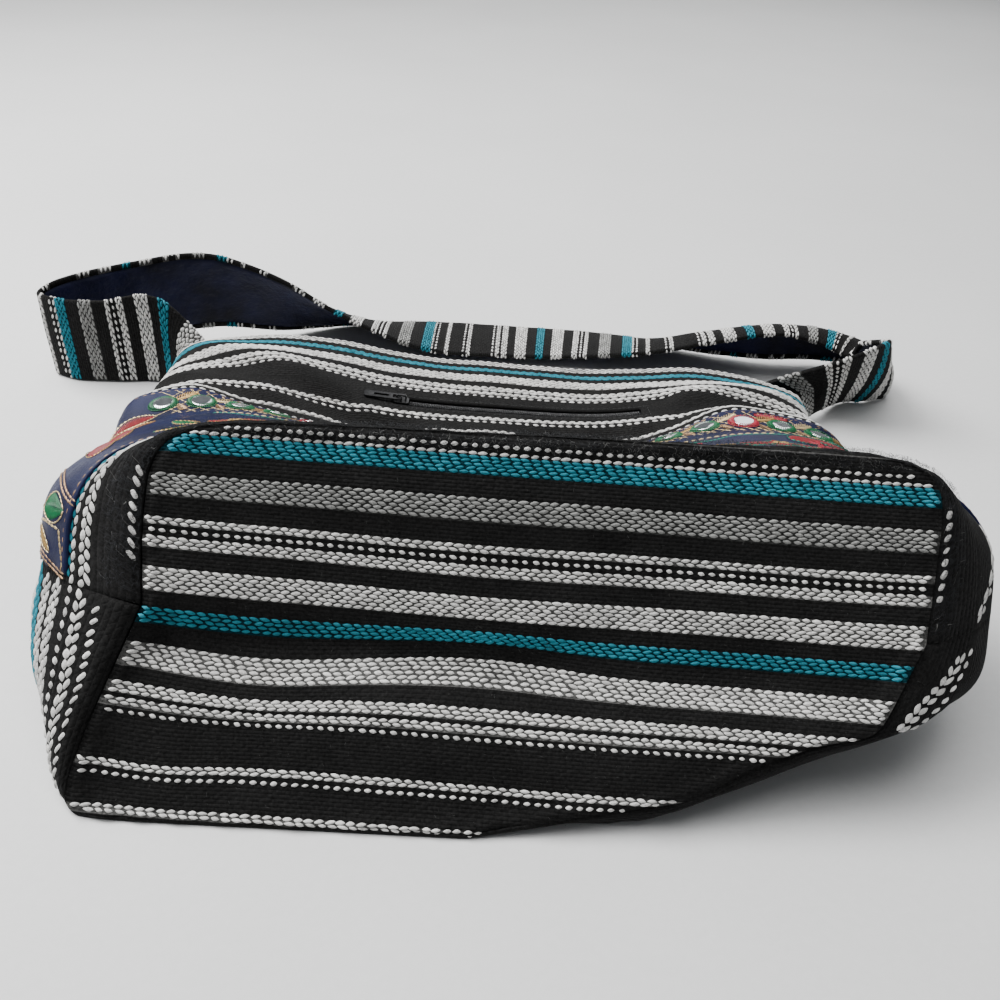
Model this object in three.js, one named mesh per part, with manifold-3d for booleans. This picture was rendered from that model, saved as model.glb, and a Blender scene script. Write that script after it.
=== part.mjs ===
// A soft crossbody bag of striped cotton, lying on its back with its mouth away from the viewer.
// Millimetres, +Z up, +X along the bag's width, +Y from the bottom panel to the mouth.
// The origin is on the surface that the bag lies on, under the middle of bag and strap.
import * as THREE from 'three';
import { mergeVertices } from 'three/addons/utils/BufferGeometryUtils.js';
import Module from 'manifold-3d';

const wasm = await Module();
wasm.setup();

// Cloth
const CLOTH = 2;
const GAP = 0.3;
const SEAM_TRIM = 0.001;
const PANEL_HEIGHT = 290;

// Bottom panel: its middle sinks in along its width, most at the left
const SINK = 11;
const SINK_SLANT = 4;
const CREASE_REACH = 0.55;
const CREASE_FLAT = 4;

// Embroidered band, measured up the front from the bottom seam
const BAND_FROM = 25;
const BAND_TO = 178;
const BAND_THICK = 1;
const MIRROR_COUNT = 19;
const MIRROR_PITCH = 20;
const MIRROR_HEIGHT = 162;
const MIRROR_RADIUS = 5.5;
const MIRROR_THICK = 0.8;
const MIRROR_CLEAR = 0.8;

// Zip of the front pocket
const ZIP_HEIGHT = 219;
const ZIP_SHIFT = 20;
const ZIP_LENGTH = 150;
const ZIP_SLOT = 9;
const TAPE_MARGIN = 7;
const TAPE_THICK = 0.8;
const TAPE_GAP = 0.5;
const COIL_WIDTH = 4.2;
const COIL_TALL = 2;
const SLIDER = { length: 9.5, width: 6.8, top: 1.1, floor: -1.6, corner: 1.6 };
const BRIDGE = { width: 1.8, reach: 3.2, bar: 1, clear: 2.6, sunk: 0.4 };
const PULL = { length: 23, width: 6.4, thick: 1.2, corner: 1.5 };
const PULL_WINDOW = { width: 3.4, length: 4.6, corner: 0.5 };
const PULL_HOLE = { width: 2.2, length: 9, corner: 0.8, after: 2.4 };
const PULL_REST = -1;

// Strap
const STRAP_WIDTH = 58;
const STRAP_THICK = 1.8;
const LINING_THICK = 1;
const LINING_MARGIN = 3;
const LINING_GAP = 0.4;
const ROOT_SHARE = 0.92;
const ROOT_CLEAR = 1.2;
const ROOT_OUT = 7;

// Sections of the bag from the bottom seam (0) to the mouth (1). Each is two halves that meet at the
// side seams: y and z place the back, the seams and the front, x the seams, dip sinks the middle of
// the front, tip raises its left, box squares the corners, skew shifts a half sideways, lift raises
// the right of the back and tuck pulls the left seam in.
const SECTION_COLUMNS = ['at', 'yBack', 'ySeam', 'yFront', 'xLeft', 'xRight', 'zSeam', 'zFront', 'dip', 'tip',
  'boxBack', 'boxFront', 'skewBack', 'skewFront', 'lift', 'tuck'];
const SECTION_ROWS = [
  [0.00, -225, -169, -119, -132, 196, 66, 125, 0, 0, 16, 9, -20, 9, 36, 9],
  [0.05, -212, -157, -107.5, -161, 219, 64, 119, 4, 0, 6, 4.6, -9, 7, 30, 6],
  [0.13, -188, -137, -94.5, -179, 234, 60, 111.5, 12, 0, 4.6, 3.4, -3, 5, 20, 2],
  [0.30, -138, -89, -58, -184, 224, 53, 92, 17, -3, 4.4, 3, 0, 3, 5, 0],
  [0.50, -80, -32, -8, -187, 213, 43, 66, 24, -4, 4.5, 2.8, 0, 0, 0, 0],
  [0.65, -37, 10, 23, -189, 210, 35, 54, 20, -2, 5, 2.6, 0, 0, 0, 0],
  [0.75, -8, 38, 51, -191, 209, 30, 50, 17, 4, 5, 2.6, 0, 0, 0, 0],
  [0.90, 36, 80, 92, -194, 211, 21, 47, 15, 8, 5, 2.6, 0, 0, 0, 0],
  [1.00, 66, 107, 119, -195, 214, 15, 43, 14, 8, 4, 2.6, 0, 0, 0, 0],
];
const VALLEY_MIDDLE = 0.03;
const VALLEY_WIDTH = 0.52;
const VALLEY_FLAT = 4;
const LIFT_FROM = 0.2;
const REST_FLAT = 1.03;

// The strap's free run from the left root to the right: the middle of its width, the lean of that
// width from upright towards the inside of the loop and half its bend from edge to edge, in degrees,
// and how far along the run its upper edge is ahead of the middle.
const STRAP_COLUMNS = ['x', 'y', 'z', 'lean', 'cup', 'rake'];
const STRAP_ROWS = [
  [-208, 122, 29.5, 10, 0, 0],
  [-243, 117, 29.5, 0, 0, 0],
  [-270, 117, 29.5, 0, 0, 0],
  [-287, 126, 30, 0, 0, 0],
  [-277, 140, 34, 0, 0, 0],
  [-240, 159, 39, 2, 0, 0],
  [-190, 179, 43, 6, 10, 0],
  [-145, 189, 33, 24, 14, 0],
  [-98, 196, 20, 58, 12, 0],
  [-40, 197, 8.6, 82, 6, 0],
  [20, 197, 7.4, 84, 6, 0],
  [78, 195, 9, 80, 6, 0],
  [120, 188, 16, 72, 15, 0],
  [160, 186, 26, 56, 44, 0],
  [205, 188, 31, 40, 66, 0],
  [242, 187, 31.5, 48, 74, 0],
  [271, 174, 30, 58, 66, 0],
  [282.5, 151, 28.4, 34, 54, 0],
  [272, 129, 27, -12, 26, 4],
  [242, 117, 26.2, -27, 6, 10],
];

// How finely the walls are divided
const SECTION_STEPS = 180;
const SHARE_STEP = 0.0005;
const FRONT_COLUMNS = 38;
const BACK_COLUMNS = 30;
const BAND_ROWS = 8;
const UPPER_ROWS = 7;
const BACK_ROWS = 12;
const BOTTOM_SPOKES = 64;
const BOTTOM_RINGS = 6;
const STEPS_PER_STRAP_ROW = 2;
const LINING_SKIPS = 3;
const TAPE_COLUMNS = 12;
const COIL_SIDES = 8;
const MIRROR_SIDES = 10;
const SEAM_BUNCHING = 0.55;
const FIRST_SHARES = { front: 0.045, back: 0.05 };
const BACK_FROM = 0.1;
const NORMAL_STEP = 0.004;
const FRAME_STEP = 0.01;
const STRAP_STEP = 2;
const STRAP_ACROSS_STEP = 0.05;

const CLOTH_COLOURS = { stripe: 0x2a2b2e, band: 0x25294a, lining: 0x14161f, zip: 0x17181a, mirror: 0xd8dde0 };

function smooth(t) {
  return THREE.MathUtils.smoothstep(t, 0, 1);
}

// A smooth curve through values at uneven places, as a cubic between each two.
function curveThrough(places, values, place) {
  const last = places.length - 1;
  const slope = (i) => {
    const before = Math.max(i - 1, 0);
    const after = Math.min(i + 1, last);
    return (values[after] - values[before]) / (places[after] - places[before]);
  };
  let i = 0;
  while (i < last - 1 && place > places[i + 1]) i += 1;
  const span = places[i + 1] - places[i];
  const t = (place - places[i]) / span;
  const fromStart = (1 + 2 * t) * (1 - t) ** 2 * values[i] + t * (1 - t) ** 2 * span * slope(i);
  const fromEnd = t * t * (3 - 2 * t) * values[i + 1] + t * t * (t - 1) * span * slope(i + 1);
  return fromStart + fromEnd;
}

const sectionPlaces = SECTION_ROWS.map((row) => row[0]);

function station(share) {
  const found = {};
  SECTION_COLUMNS.forEach((name, column) => {
    const values = SECTION_ROWS.map((row) => row[column]);
    found[name] = curveThrough(sectionPlaces, values, share);
  });
  return found;
}

const bottomEdge = station(0);
const BOTTOM_SLOPE = (bottomEdge.yFront - bottomEdge.yBack) / bottomEdge.zFront;

// One half of a section, from the left seam over the front or under the back to the right seam.
function halfSection(side, share) {
  const q = station(share);
  const isFront = side === 'front';
  const box = isFront ? q.boxFront : q.boxBack;
  const skew = isFront ? q.skewFront : q.skewBack;
  const yEdge = isFront ? q.yFront : q.yBack;
  const middle = (q.xLeft + q.xRight) / 2;
  const half = (q.xRight - q.xLeft) / 2;
  const points = [];
  for (let k = 0; k <= SECTION_STEPS; k += 1) {
    const angle = Math.PI * (1 - k / SECTION_STEPS);
    const across = Math.sign(Math.cos(angle)) * Math.abs(Math.cos(angle)) ** (2 / box);
    const rise = Math.abs(Math.sin(angle)) ** (2 / box);
    const tuck = q.tuck * smooth(-across) * (1 - rise) ** 2;
    const x = middle + half * across + skew * rise + tuck;
    let y = q.ySeam + (yEdge - q.ySeam) * rise;
    let z;
    if (isFront) {
      const valley = Math.exp(-(((across - VALLEY_MIDDLE) / VALLEY_WIDTH) ** VALLEY_FLAT));
      z = q.zSeam + (q.zFront - q.zSeam - q.dip * valley - q.tip * across) * rise;
    } else {
      const lift = Math.max(q.lift, 0) * smooth((across - LIFT_FROM) / (1 - LIFT_FROM)) * rise;
      z = q.zSeam * (1 - Math.min(rise * REST_FLAT, 1)) + lift;
      y += lift * BOTTOM_SLOPE;
    }
    points.push(new THREE.Vector3(x, y, z));
  }
  return points;
}

const sectionStore = new Map();

// A half section with the length run so far at each of its points.
function measuredSection(side, share) {
  const key = `${side} ${share.toFixed(6)}`;
  if (!sectionStore.has(key)) {
    const points = halfSection(side, share);
    const runs = [0];
    for (let k = 1; k < points.length; k += 1) runs.push(runs[k - 1] + points[k].distanceTo(points[k - 1]));
    sectionStore.set(key, { points, runs, length: runs[runs.length - 1] });
  }
  return sectionStore.get(key);
}

function sectionPoint(side, run, share) {
  const { points, runs, length } = measuredSection(side, share);
  const target = THREE.MathUtils.clamp(run, 0, 1) * length;
  let k = 1;
  while (k < points.length - 1 && runs[k] < target) k += 1;
  const t = (target - runs[k - 1]) / (runs[k] - runs[k - 1] || 1);
  return points[k - 1].clone().lerp(points[k], t);
}

// Past a side seam the section goes on over the other panel.
function pointAround(side, run, share) {
  const other = side === 'front' ? 'back' : 'front';
  if (run < 0) return sectionPoint(other, -run, share);
  if (run > 1) return sectionPoint(other, 2 - run, share);
  return sectionPoint(side, run, share);
}

function shellNormal(side, run, share) {
  const right = pointAround(side, run + NORMAL_STEP, share).sub(pointAround(side, run - NORMAL_STEP, share));
  const shareAfter = Math.min(share + NORMAL_STEP, 1);
  const shareBefore = Math.max(share - NORMAL_STEP, 0);
  const away = sectionPoint(side, run, shareAfter).sub(sectionPoint(side, run, shareBefore));
  return right.cross(away).normalize().multiplyScalar(side === 'front' ? 1 : -1);
}

// A point on the bag's outer face, or a height above it (below it where negative).
function shellPoint(side, run, share, height = 0) {
  const point = sectionPoint(side, run, share);
  return height === 0 ? point : point.addScaledVector(shellNormal(side, run, share), height);
}

function runAt(side, share, fromMiddle) {
  return 0.5 + fromMiddle / measuredSection(side, share).length;
}

// Geometry from points and triangles, turned so that its faces point out.
function solidGeometry(points, triangles) {
  let volume = 0;
  for (const [a, b, c] of triangles) volume += points[a].dot(points[b].clone().cross(points[c]));
  const geometry = new THREE.BufferGeometry();
  geometry.setAttribute('position', new THREE.Float32BufferAttribute(points.flatMap((p) => p.toArray()), 3));
  geometry.setIndex(triangles.flatMap(([a, b, c]) => (volume > 0 ? [a, b, c] : [a, c, b])));
  geometry.computeVertexNormals();
  return geometry;
}

// A closed wall between two faces, each given as a function of column and row.
function wallGeometry(outer, inner, columns, rows) {
  const points = [];
  for (const face of [outer, inner]) {
    for (let row = 0; row <= rows; row += 1) {
      for (let column = 0; column <= columns; column += 1) points.push(face(column, row));
    }
  }
  const layer = (columns + 1) * (rows + 1);
  const at = (column, row, face) => face * layer + row * (columns + 1) + column;
  const triangles = [];
  const quad = (a, b, c, d) => triangles.push([a, b, c], [a, c, d]);
  for (let row = 0; row < rows; row += 1) {
    for (let column = 0; column < columns; column += 1) {
      quad(at(column, row, 0), at(column + 1, row, 0), at(column + 1, row + 1, 0), at(column, row + 1, 0));
      quad(at(column, row, 1), at(column, row + 1, 1), at(column + 1, row + 1, 1), at(column + 1, row, 1));
    }
  }
  for (let column = 0; column < columns; column += 1) {
    quad(at(column + 1, 0, 0), at(column, 0, 0), at(column, 0, 1), at(column + 1, 0, 1));
    quad(at(column, rows, 0), at(column + 1, rows, 0), at(column + 1, rows, 1), at(column, rows, 1));
  }
  for (let row = 0; row < rows; row += 1) {
    quad(at(0, row, 0), at(0, row + 1, 0), at(0, row + 1, 1), at(0, row, 1));
    quad(at(columns, row + 1, 0), at(columns, row, 0), at(columns, row, 1), at(columns, row + 1, 1));
  }
  return solidGeometry(points, triangles);
}

// A closed wall over a disc: rings of points shrink from a loop to its middle.
function discGeometry(face, spokes, rings, depths) {
  const points = [];
  for (const depth of depths) {
    points.push(face(0, 0, depth));
    for (let ring = 1; ring <= rings; ring += 1) {
      for (let spoke = 0; spoke < spokes; spoke += 1) points.push(face(spoke, ring / rings, depth));
    }
  }
  const layer = 1 + spokes * rings;
  const onRing = (spoke, ring) => (ring === 0 ? 0 : 1 + (ring - 1) * spokes + (spoke % spokes));
  const at = (spoke, ring, side) => side * layer + onRing(spoke, ring);
  const triangles = [];
  for (let spoke = 0; spoke < spokes; spoke += 1) {
    for (const side of [0, 1]) {
      const turn = (a, b, c) => triangles.push(side === 0 ? [a, b, c] : [a, c, b]);
      turn(at(0, 0, side), at(spoke, 1, side), at(spoke + 1, 1, side));
      for (let ring = 1; ring < rings; ring += 1) {
        turn(at(spoke, ring, side), at(spoke, ring + 1, side), at(spoke + 1, ring + 1, side));
        turn(at(spoke, ring, side), at(spoke + 1, ring + 1, side), at(spoke + 1, ring, side));
      }
    }
    triangles.push([at(spoke, rings, 0), at(spoke, rings, 1), at(spoke + 1, rings, 1)]);
    triangles.push([at(spoke, rings, 0), at(spoke + 1, rings, 1), at(spoke + 1, rings, 0)]);
  }
  return solidGeometry(points, triangles);
}

function toSolid(geometry) {
  const bare = geometry.clone();
  bare.deleteAttribute('normal');
  bare.deleteAttribute('uv');
  const merged = mergeVertices(bare, 1e-4);
  return new wasm.Manifold(new wasm.Mesh({
    numProp: 3,
    vertProperties: new Float32Array(merged.attributes.position.array),
    triVerts: new Uint32Array(merged.index.array),
  }));
}

function fromSolid(solid) {
  const mesh = solid.getMesh();
  const geometry = new THREE.BufferGeometry();
  geometry.setAttribute('position', new THREE.Float32BufferAttribute(mesh.vertProperties, 3));
  geometry.setIndex(new THREE.Uint32BufferAttribute(mesh.triVerts, 1));
  geometry.computeVertexNormals();
  return geometry;
}

// Columns across a panel lie closer together towards the side seams.
function columnRun(column, columns) {
  const even = 1 - (2 * column) / columns;
  const bunched = Math.cos((Math.PI * column) / columns);
  const run = 0.5 - 0.5 * THREE.MathUtils.lerp(even, bunched, SEAM_BUNCHING);
  return THREE.MathUtils.clamp(run, SEAM_TRIM, 1 - SEAM_TRIM);
}

// A panel starts where its wall clears the bottom panel's inner face, and the bottom panel's edge
// follows the bag's outer shape.
const inward = new THREE.Vector3(0, bottomEdge.zFront, bottomEdge.yBack - bottomEdge.yFront).normalize();
const bottomCorner = new THREE.Vector3(0, bottomEdge.yBack, 0);

function depthBehindBottom(point) {
  return point.clone().sub(bottomCorner).dot(inward);
}

// Where up the shell a stretch of cloth from one height to another lies a depth behind the bottom.
function shareAtDepth(side, run, depth, heights) {
  const nearest = (share) => Math.min(...heights.map((height) => {
    return depthBehindBottom(shellPoint(side, run, share, height));
  }));
  let share = 0;
  while (nearest(share) < depth) share += SHARE_STEP;
  return share;
}

function panelGeometry(side, columns, shares) {
  const runs = Array.from({ length: columns + 1 }, (_, column) => columnRun(column, columns));
  const starts = runs.map((run) => shareAtDepth(side, run, CLOTH + GAP, [0, -CLOTH]));
  const shareAt = (column, row) => (row === 0 ? starts[column] : shares[row - 1]);
  const outer = (column, row) => shellPoint(side, runs[column], shareAt(column, row));
  const inner = (column, row) => shellPoint(side, runs[column], shareAt(column, row), -CLOTH);
  return wallGeometry(outer, inner, columns, shares.length);
}

function evenly(from, to, steps) {
  return Array.from({ length: steps + 1 }, (_, k) => from + ((to - from) * k) / steps);
}

const bandShares = evenly(BAND_FROM / PANEL_HEIGHT, BAND_TO / PANEL_HEIGHT, BAND_ROWS);
const upperShares = evenly(BAND_TO / PANEL_HEIGHT, 1, UPPER_ROWS).slice(1);
const frontShares = [FIRST_SHARES.front, ...bandShares, ...upperShares];
const backShares = [FIRST_SHARES.back, ...evenly(BACK_FROM, 1, BACK_ROWS)];
const zipShare = ZIP_HEIGHT / PANEL_HEIGHT;

function zipRun(fromLeft) {
  return runAt('front', zipShare, ZIP_SHIFT - ZIP_LENGTH / 2 + fromLeft);
}

// A patch that follows the front around the zip, a margin past the slot all round.
function zipPatch(margin, top, floor) {
  const reach = (ZIP_SLOT / 2 + margin) / PANEL_HEIGHT;
  const point = (column, row, height) => {
    const run = zipRun(-margin + ((ZIP_LENGTH + 2 * margin) * column) / TAPE_COLUMNS);
    return shellPoint('front', run, zipShare + (row === 0 ? -reach : reach), height);
  };
  const outer = (column, row) => point(column, row, top);
  const inner = (column, row) => point(column, row, floor);
  return wallGeometry(outer, inner, TAPE_COLUMNS, 1);
}

function frontPanel() {
  const wall = toSolid(panelGeometry('front', FRONT_COLUMNS, frontShares));
  return fromSolid(wall.subtract(toSolid(zipPatch(0, CLOTH, -2 * CLOTH))));
}

function bottomPanel() {
  const half = BOTTOM_SPOKES / 2;
  const rimPoint = (side, run, depth) => {
    const share = depth === 0 ? 0 : shareAtDepth(side, run, depth, [0]);
    return sectionPoint(side, run, share);
  };
  const rimAt = (depth) => [
    ...evenly(0, 1, half).slice(0, half).map((run) => rimPoint('front', run, depth)),
    ...evenly(1, 0, half).slice(0, half).map((run) => rimPoint('back', run, depth)),
  ];
  const rims = new Map([[0, rimAt(0)], [CLOTH, rimAt(CLOTH)]]);
  const middle = sectionPoint('front', 0.5, 0).add(sectionPoint('back', 0.5, 0)).multiplyScalar(0.5);
  const wide = (bottomEdge.xRight - bottomEdge.xLeft) / 2;
  const tall = bottomEdge.zFront / 2;
  const face = (spoke, ring, depth) => {
    const point = middle.clone().addScaledVector(inward, depth).lerp(rims.get(depth)[spoke], ring);
    const leftness = (middle.x - point.x) / wide;
    const crease = Math.exp(-(((point.z - middle.z) / (CREASE_REACH * tall)) ** 2));
    const sink = (SINK + SINK_SLANT * leftness) * crease * (1 - ring ** CREASE_FLAT);
    point.addScaledVector(inward, sink);
    return point.setZ(Math.max(point.z, 0));
  };
  return discGeometry(face, BOTTOM_SPOKES, BOTTOM_RINGS, [0, CLOTH]);
}

function embroideredBand() {
  const runs = Array.from({ length: FRONT_COLUMNS + 1 }, (_, column) => columnRun(column, FRONT_COLUMNS));
  const outer = (column, row) => shellPoint('front', runs[column], bandShares[row], GAP + BAND_THICK);
  const inner = (column, row) => shellPoint('front', runs[column], bandShares[row], GAP);
  return wallGeometry(outer, inner, FRONT_COLUMNS, BAND_ROWS);
}

// Placing axes on the front: x along the width, z straight out of the cloth.
function frontFrame(run, share, height) {
  const out = shellNormal('front', run, share);
  const right = sectionPoint('front', run + FRAME_STEP, share);
  right.sub(sectionPoint('front', run - FRAME_STEP, share));
  right.addScaledVector(out, -right.dot(out)).normalize();
  const frame = new THREE.Matrix4().makeBasis(right, out.clone().cross(right), out);
  return frame.setPosition(shellPoint('front', run, share, height));
}

function zipCoil() {
  const start = SLIDER.length + 2 * GAP;
  const middle = -CLOTH - TAPE_GAP + GAP + COIL_TALL / 2;
  const ring = (column) => {
    const run = zipRun(start + ((ZIP_LENGTH - start - 1) * column) / TAPE_COLUMNS);
    const frame = frontFrame(run, zipShare, middle);
    return evenly(0, 2 * Math.PI, COIL_SIDES).slice(0, COIL_SIDES).map((angle) => {
      const local = new THREE.Vector3(0, Math.cos(angle) * COIL_WIDTH / 2, Math.sin(angle) * COIL_TALL / 2);
      return local.applyMatrix4(frame);
    });
  };
  const points = evenly(0, TAPE_COLUMNS, TAPE_COLUMNS).flatMap((column) => ring(column));
  const triangles = [];
  for (let column = 0; column < TAPE_COLUMNS; column += 1) {
    for (let side = 0; side < COIL_SIDES; side += 1) {
      const next = (side + 1) % COIL_SIDES;
      const a = column * COIL_SIDES;
      const b = a + COIL_SIDES;
      triangles.push([a + side, b + side, b + next], [a + side, b + next, a + next]);
    }
  }
  const last = TAPE_COLUMNS * COIL_SIDES;
  for (let side = 1; side < COIL_SIDES - 1; side += 1) {
    triangles.push([0, side, side + 1], [last, last + side + 1, last + side]);
  }
  return solidGeometry(points, triangles);
}

function roundedOutline(shape, left, right, halfWidth, radius) {
  shape.moveTo(left + radius, -halfWidth);
  shape.lineTo(right - radius, -halfWidth);
  shape.absarc(right - radius, radius - halfWidth, radius, -Math.PI / 2, 0);
  shape.lineTo(right, halfWidth - radius);
  shape.absarc(right - radius, halfWidth - radius, radius, 0, Math.PI / 2);
  shape.lineTo(left + radius, halfWidth);
  shape.absarc(left + radius, halfWidth - radius, radius, Math.PI / 2, Math.PI);
  shape.lineTo(left, radius - halfWidth);
  shape.absarc(left + radius, radius - halfWidth, radius, Math.PI, 1.5 * Math.PI);
  return shape;
}

function plate(shape, floor, top) {
  const options = { depth: top - floor, bevelEnabled: false, curveSegments: 2 };
  return new THREE.ExtrudeGeometry(shape, options).translate(0, 0, floor);
}

// The slider's body in the slot, with the bridge that carries the pull.
function zipSlider() {
  const half = SLIDER.length / 2;
  const outline = roundedOutline(new THREE.Shape(), -half, half, SLIDER.width / 2, SLIDER.corner);
  const body = plate(outline, SLIDER.floor, SLIDER.top);
  const arch = new THREE.Shape();
  const sunk = SLIDER.top - BRIDGE.sunk;
  const under = SLIDER.top + BRIDGE.clear;
  const over = under + BRIDGE.bar;
  const inside = BRIDGE.reach - BRIDGE.bar;
  arch.moveTo(-BRIDGE.reach, sunk);
  arch.lineTo(-BRIDGE.reach, under);
  arch.lineTo(-inside, over);
  arch.lineTo(inside, over);
  arch.lineTo(BRIDGE.reach, under);
  arch.lineTo(BRIDGE.reach, sunk);
  arch.lineTo(inside, sunk);
  arch.lineTo(inside, under);
  arch.lineTo(-inside, under);
  arch.lineTo(-inside, sunk);
  const bridge = new THREE.ExtrudeGeometry(arch, { depth: BRIDGE.width, bevelEnabled: false });
  bridge.translate(0, 0, -BRIDGE.width / 2).rotateX(Math.PI / 2);
  return fromSolid(toSolid(body).add(toSolid(bridge)));
}

// The pull reaches left from its cross bar, which lies under the bridge on the turning axis.
function zipPull() {
  const bar = PULL.thick / 2;
  const shape = roundedOutline(new THREE.Shape(), bar - PULL.length, bar, PULL.width / 2, PULL.corner);
  const windowEnd = -bar - PULL_WINDOW.length;
  const holeEnd = windowEnd - PULL_HOLE.after;
  const holeStart = holeEnd - PULL_HOLE.length;
  const window = roundedOutline(new THREE.Path(), windowEnd, -bar, PULL_WINDOW.width / 2, PULL_WINDOW.corner);
  const hole = roundedOutline(new THREE.Path(), holeStart, holeEnd, PULL_HOLE.width / 2, PULL_HOLE.corner);
  shape.holes.push(window, hole);
  return plate(shape, -PULL.thick / 2, PULL.thick / 2);
}

// Points across the strap's outer face, row by row: roots that follow the inside of the mouth's
// corners at both ends, and between them the free run of the table.
function rootRow(share, end) {
  return (across) => {
    const side = across >= 0 ? 'front' : 'back';
    const fromSeam = (Math.abs(across) * STRAP_WIDTH) / 2 / measuredSection(side, share).length;
    return shellPoint(side, end === 'left' ? fromSeam : 1 - fromSeam, share, -CLOTH - ROOT_CLEAR);
  };
}

// The strap runs straight out past the mouth before it bends.
function leavingRow(end) {
  return (across) => {
    const edge = rootRow(1, end)(across);
    const ahead = edge.clone().sub(rootRow(ROOT_SHARE, end)(across)).normalize();
    return edge.addScaledVector(ahead, ROOT_OUT);
  };
}

function freeRow(index) {
  const before = STRAP_ROWS[Math.max(index - 1, 0)];
  const after = STRAP_ROWS[Math.min(index + 1, STRAP_ROWS.length - 1)];
  const row = Object.fromEntries(STRAP_COLUMNS.map((name, column) => [name, STRAP_ROWS[index][column]]));
  const toInside = new THREE.Vector3(after[1] - before[1], before[0] - after[0], 0).normalize();
  const along = new THREE.Vector3(-toInside.y, toInside.x, 0);
  const lean = THREE.MathUtils.degToRad(row.lean);
  const cup = THREE.MathUtils.degToRad(Math.max(row.cup, 1));
  const radius = STRAP_WIDTH / 2 / cup;
  return (across) => {
    const up = radius * (Math.sin(lean + cup * across) - Math.sin(lean));
    const inside = radius * (Math.cos(lean) - Math.cos(lean + cup * across));
    const point = new THREE.Vector3(row.x, row.y, row.z + up).addScaledVector(toInside, inside);
    return point.addScaledVector(along, row.rake * across);
  };
}

const strapRows = [
  rootRow(ROOT_SHARE, 'left'), rootRow(1, 'left'), leavingRow('left'),
  ...STRAP_ROWS.map((_, index) => freeRow(index)),
  leavingRow('right'), rootRow(1, 'right'), rootRow(ROOT_SHARE, 'right'),
];
const strapMiddles = strapRows.map((row) => row(0));
const strapPlaces = [0];
for (let k = 1; k < strapMiddles.length; k += 1) {
  strapPlaces.push(strapPlaces[k - 1] + strapMiddles[k].distanceTo(strapMiddles[k - 1]));
}

function strapFace(place, across) {
  const points = strapRows.map((row) => row(across));
  const axis = (name) => curveThrough(strapPlaces, points.map((p) => p[name]), place);
  return new THREE.Vector3(axis('x'), axis('y'), axis('z'));
}

// A point on the strap's outer face, or a depth behind it towards the inside of the loop.
function strapPoint(place, across, depth) {
  const end = strapPlaces[strapPlaces.length - 1];
  const ahead = strapFace(Math.min(place + STRAP_STEP, end), across);
  const forward = ahead.sub(strapFace(Math.max(place - STRAP_STEP, 0), across));
  const up = strapFace(place, across + STRAP_ACROSS_STEP);
  up.sub(strapFace(place, across - STRAP_ACROSS_STEP));
  const toInside = forward.cross(up).normalize();
  return strapFace(place, across).addScaledVector(toInside, depth);
}

// A wall along the strap between two depths, leaving out some rows at each end.
function strapWall(acrosses, fromDepth, toDepth, skipped) {
  const steps = (strapRows.length - 1 - 2 * skipped) * STEPS_PER_STRAP_ROW;
  const placeAt = (step) => {
    const row = skipped + Math.floor(step / STEPS_PER_STRAP_ROW);
    const part = (step % STEPS_PER_STRAP_ROW) / STEPS_PER_STRAP_ROW;
    return part === 0 ? strapPlaces[row] : THREE.MathUtils.lerp(strapPlaces[row], strapPlaces[row + 1], part);
  };
  const outer = (column, step) => strapPoint(placeAt(step), acrosses[column], fromDepth);
  const inner = (column, step) => strapPoint(placeAt(step), acrosses[column], toDepth);
  return wallGeometry(outer, inner, acrosses.length - 1, steps);
}

const liningReach = 1 - (2 * LINING_MARGIN) / STRAP_WIDTH;
const liningAcross = [-liningReach, -0.45, -0.15, 0.15, 0.45, liningReach];
const strapAcross = [-1, ...liningAcross, 1];

const bag = new THREE.Group();

function addMesh(parent, name, geometry, colour, roughness, metalness = 0) {
  const material = new THREE.MeshStandardMaterial({ color: colour, roughness, metalness });
  const mesh = new THREE.Mesh(geometry, material);
  mesh.name = name;
  parent.add(mesh);
  return mesh;
}

addMesh(bag, 'bottom_panel', bottomPanel(), CLOTH_COLOURS.stripe, 0.95);
addMesh(bag, 'front_panel', frontPanel(), CLOTH_COLOURS.stripe, 0.95);
addMesh(bag, 'back_panel', panelGeometry('back', BACK_COLUMNS, backShares), CLOTH_COLOURS.stripe, 0.95);
addMesh(bag, 'embroidered_band', embroideredBand(), CLOTH_COLOURS.band, 0.5);

for (let k = 0; k < MIRROR_COUNT; k += 1) {
  const share = MIRROR_HEIGHT / PANEL_HEIGHT;
  const run = runAt('front', share, (k - (MIRROR_COUNT - 1) / 2) * MIRROR_PITCH);
  const disc = new THREE.CylinderGeometry(MIRROR_RADIUS, MIRROR_RADIUS, MIRROR_THICK, MIRROR_SIDES);
  disc.rotateX(Math.PI / 2);
  const name = `mirror_${String(k + 1).padStart(2, '0')}`;
  const mirror = addMesh(bag, name, disc, CLOTH_COLOURS.mirror, 0.1, 0.9);
  const height = GAP + BAND_THICK + MIRROR_CLEAR + MIRROR_THICK / 2;
  mirror.applyMatrix4(frontFrame(run, share, height));
}

const tapeTop = -CLOTH - TAPE_GAP;
addMesh(bag, 'zip_tape', zipPatch(TAPE_MARGIN, tapeTop, tapeTop - TAPE_THICK), CLOTH_COLOURS.zip, 0.9);
addMesh(bag, 'zip_coil', zipCoil(), CLOTH_COLOURS.zip, 0.5);

const slider = new THREE.Group();
slider.applyMatrix4(frontFrame(zipRun(SLIDER.length / 2 + GAP), zipShare, 0));
addMesh(slider, 'zip_slider', zipSlider(), CLOTH_COLOURS.zip, 0.4, 0.8);
const pull = addMesh(slider, 'zip_pull', zipPull(), CLOTH_COLOURS.zip, 0.4, 0.8);
pull.position.z = SLIDER.top + BRIDGE.clear / 2;
pull.rotation.y = THREE.MathUtils.degToRad(PULL_REST);
bag.add(slider);

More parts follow.
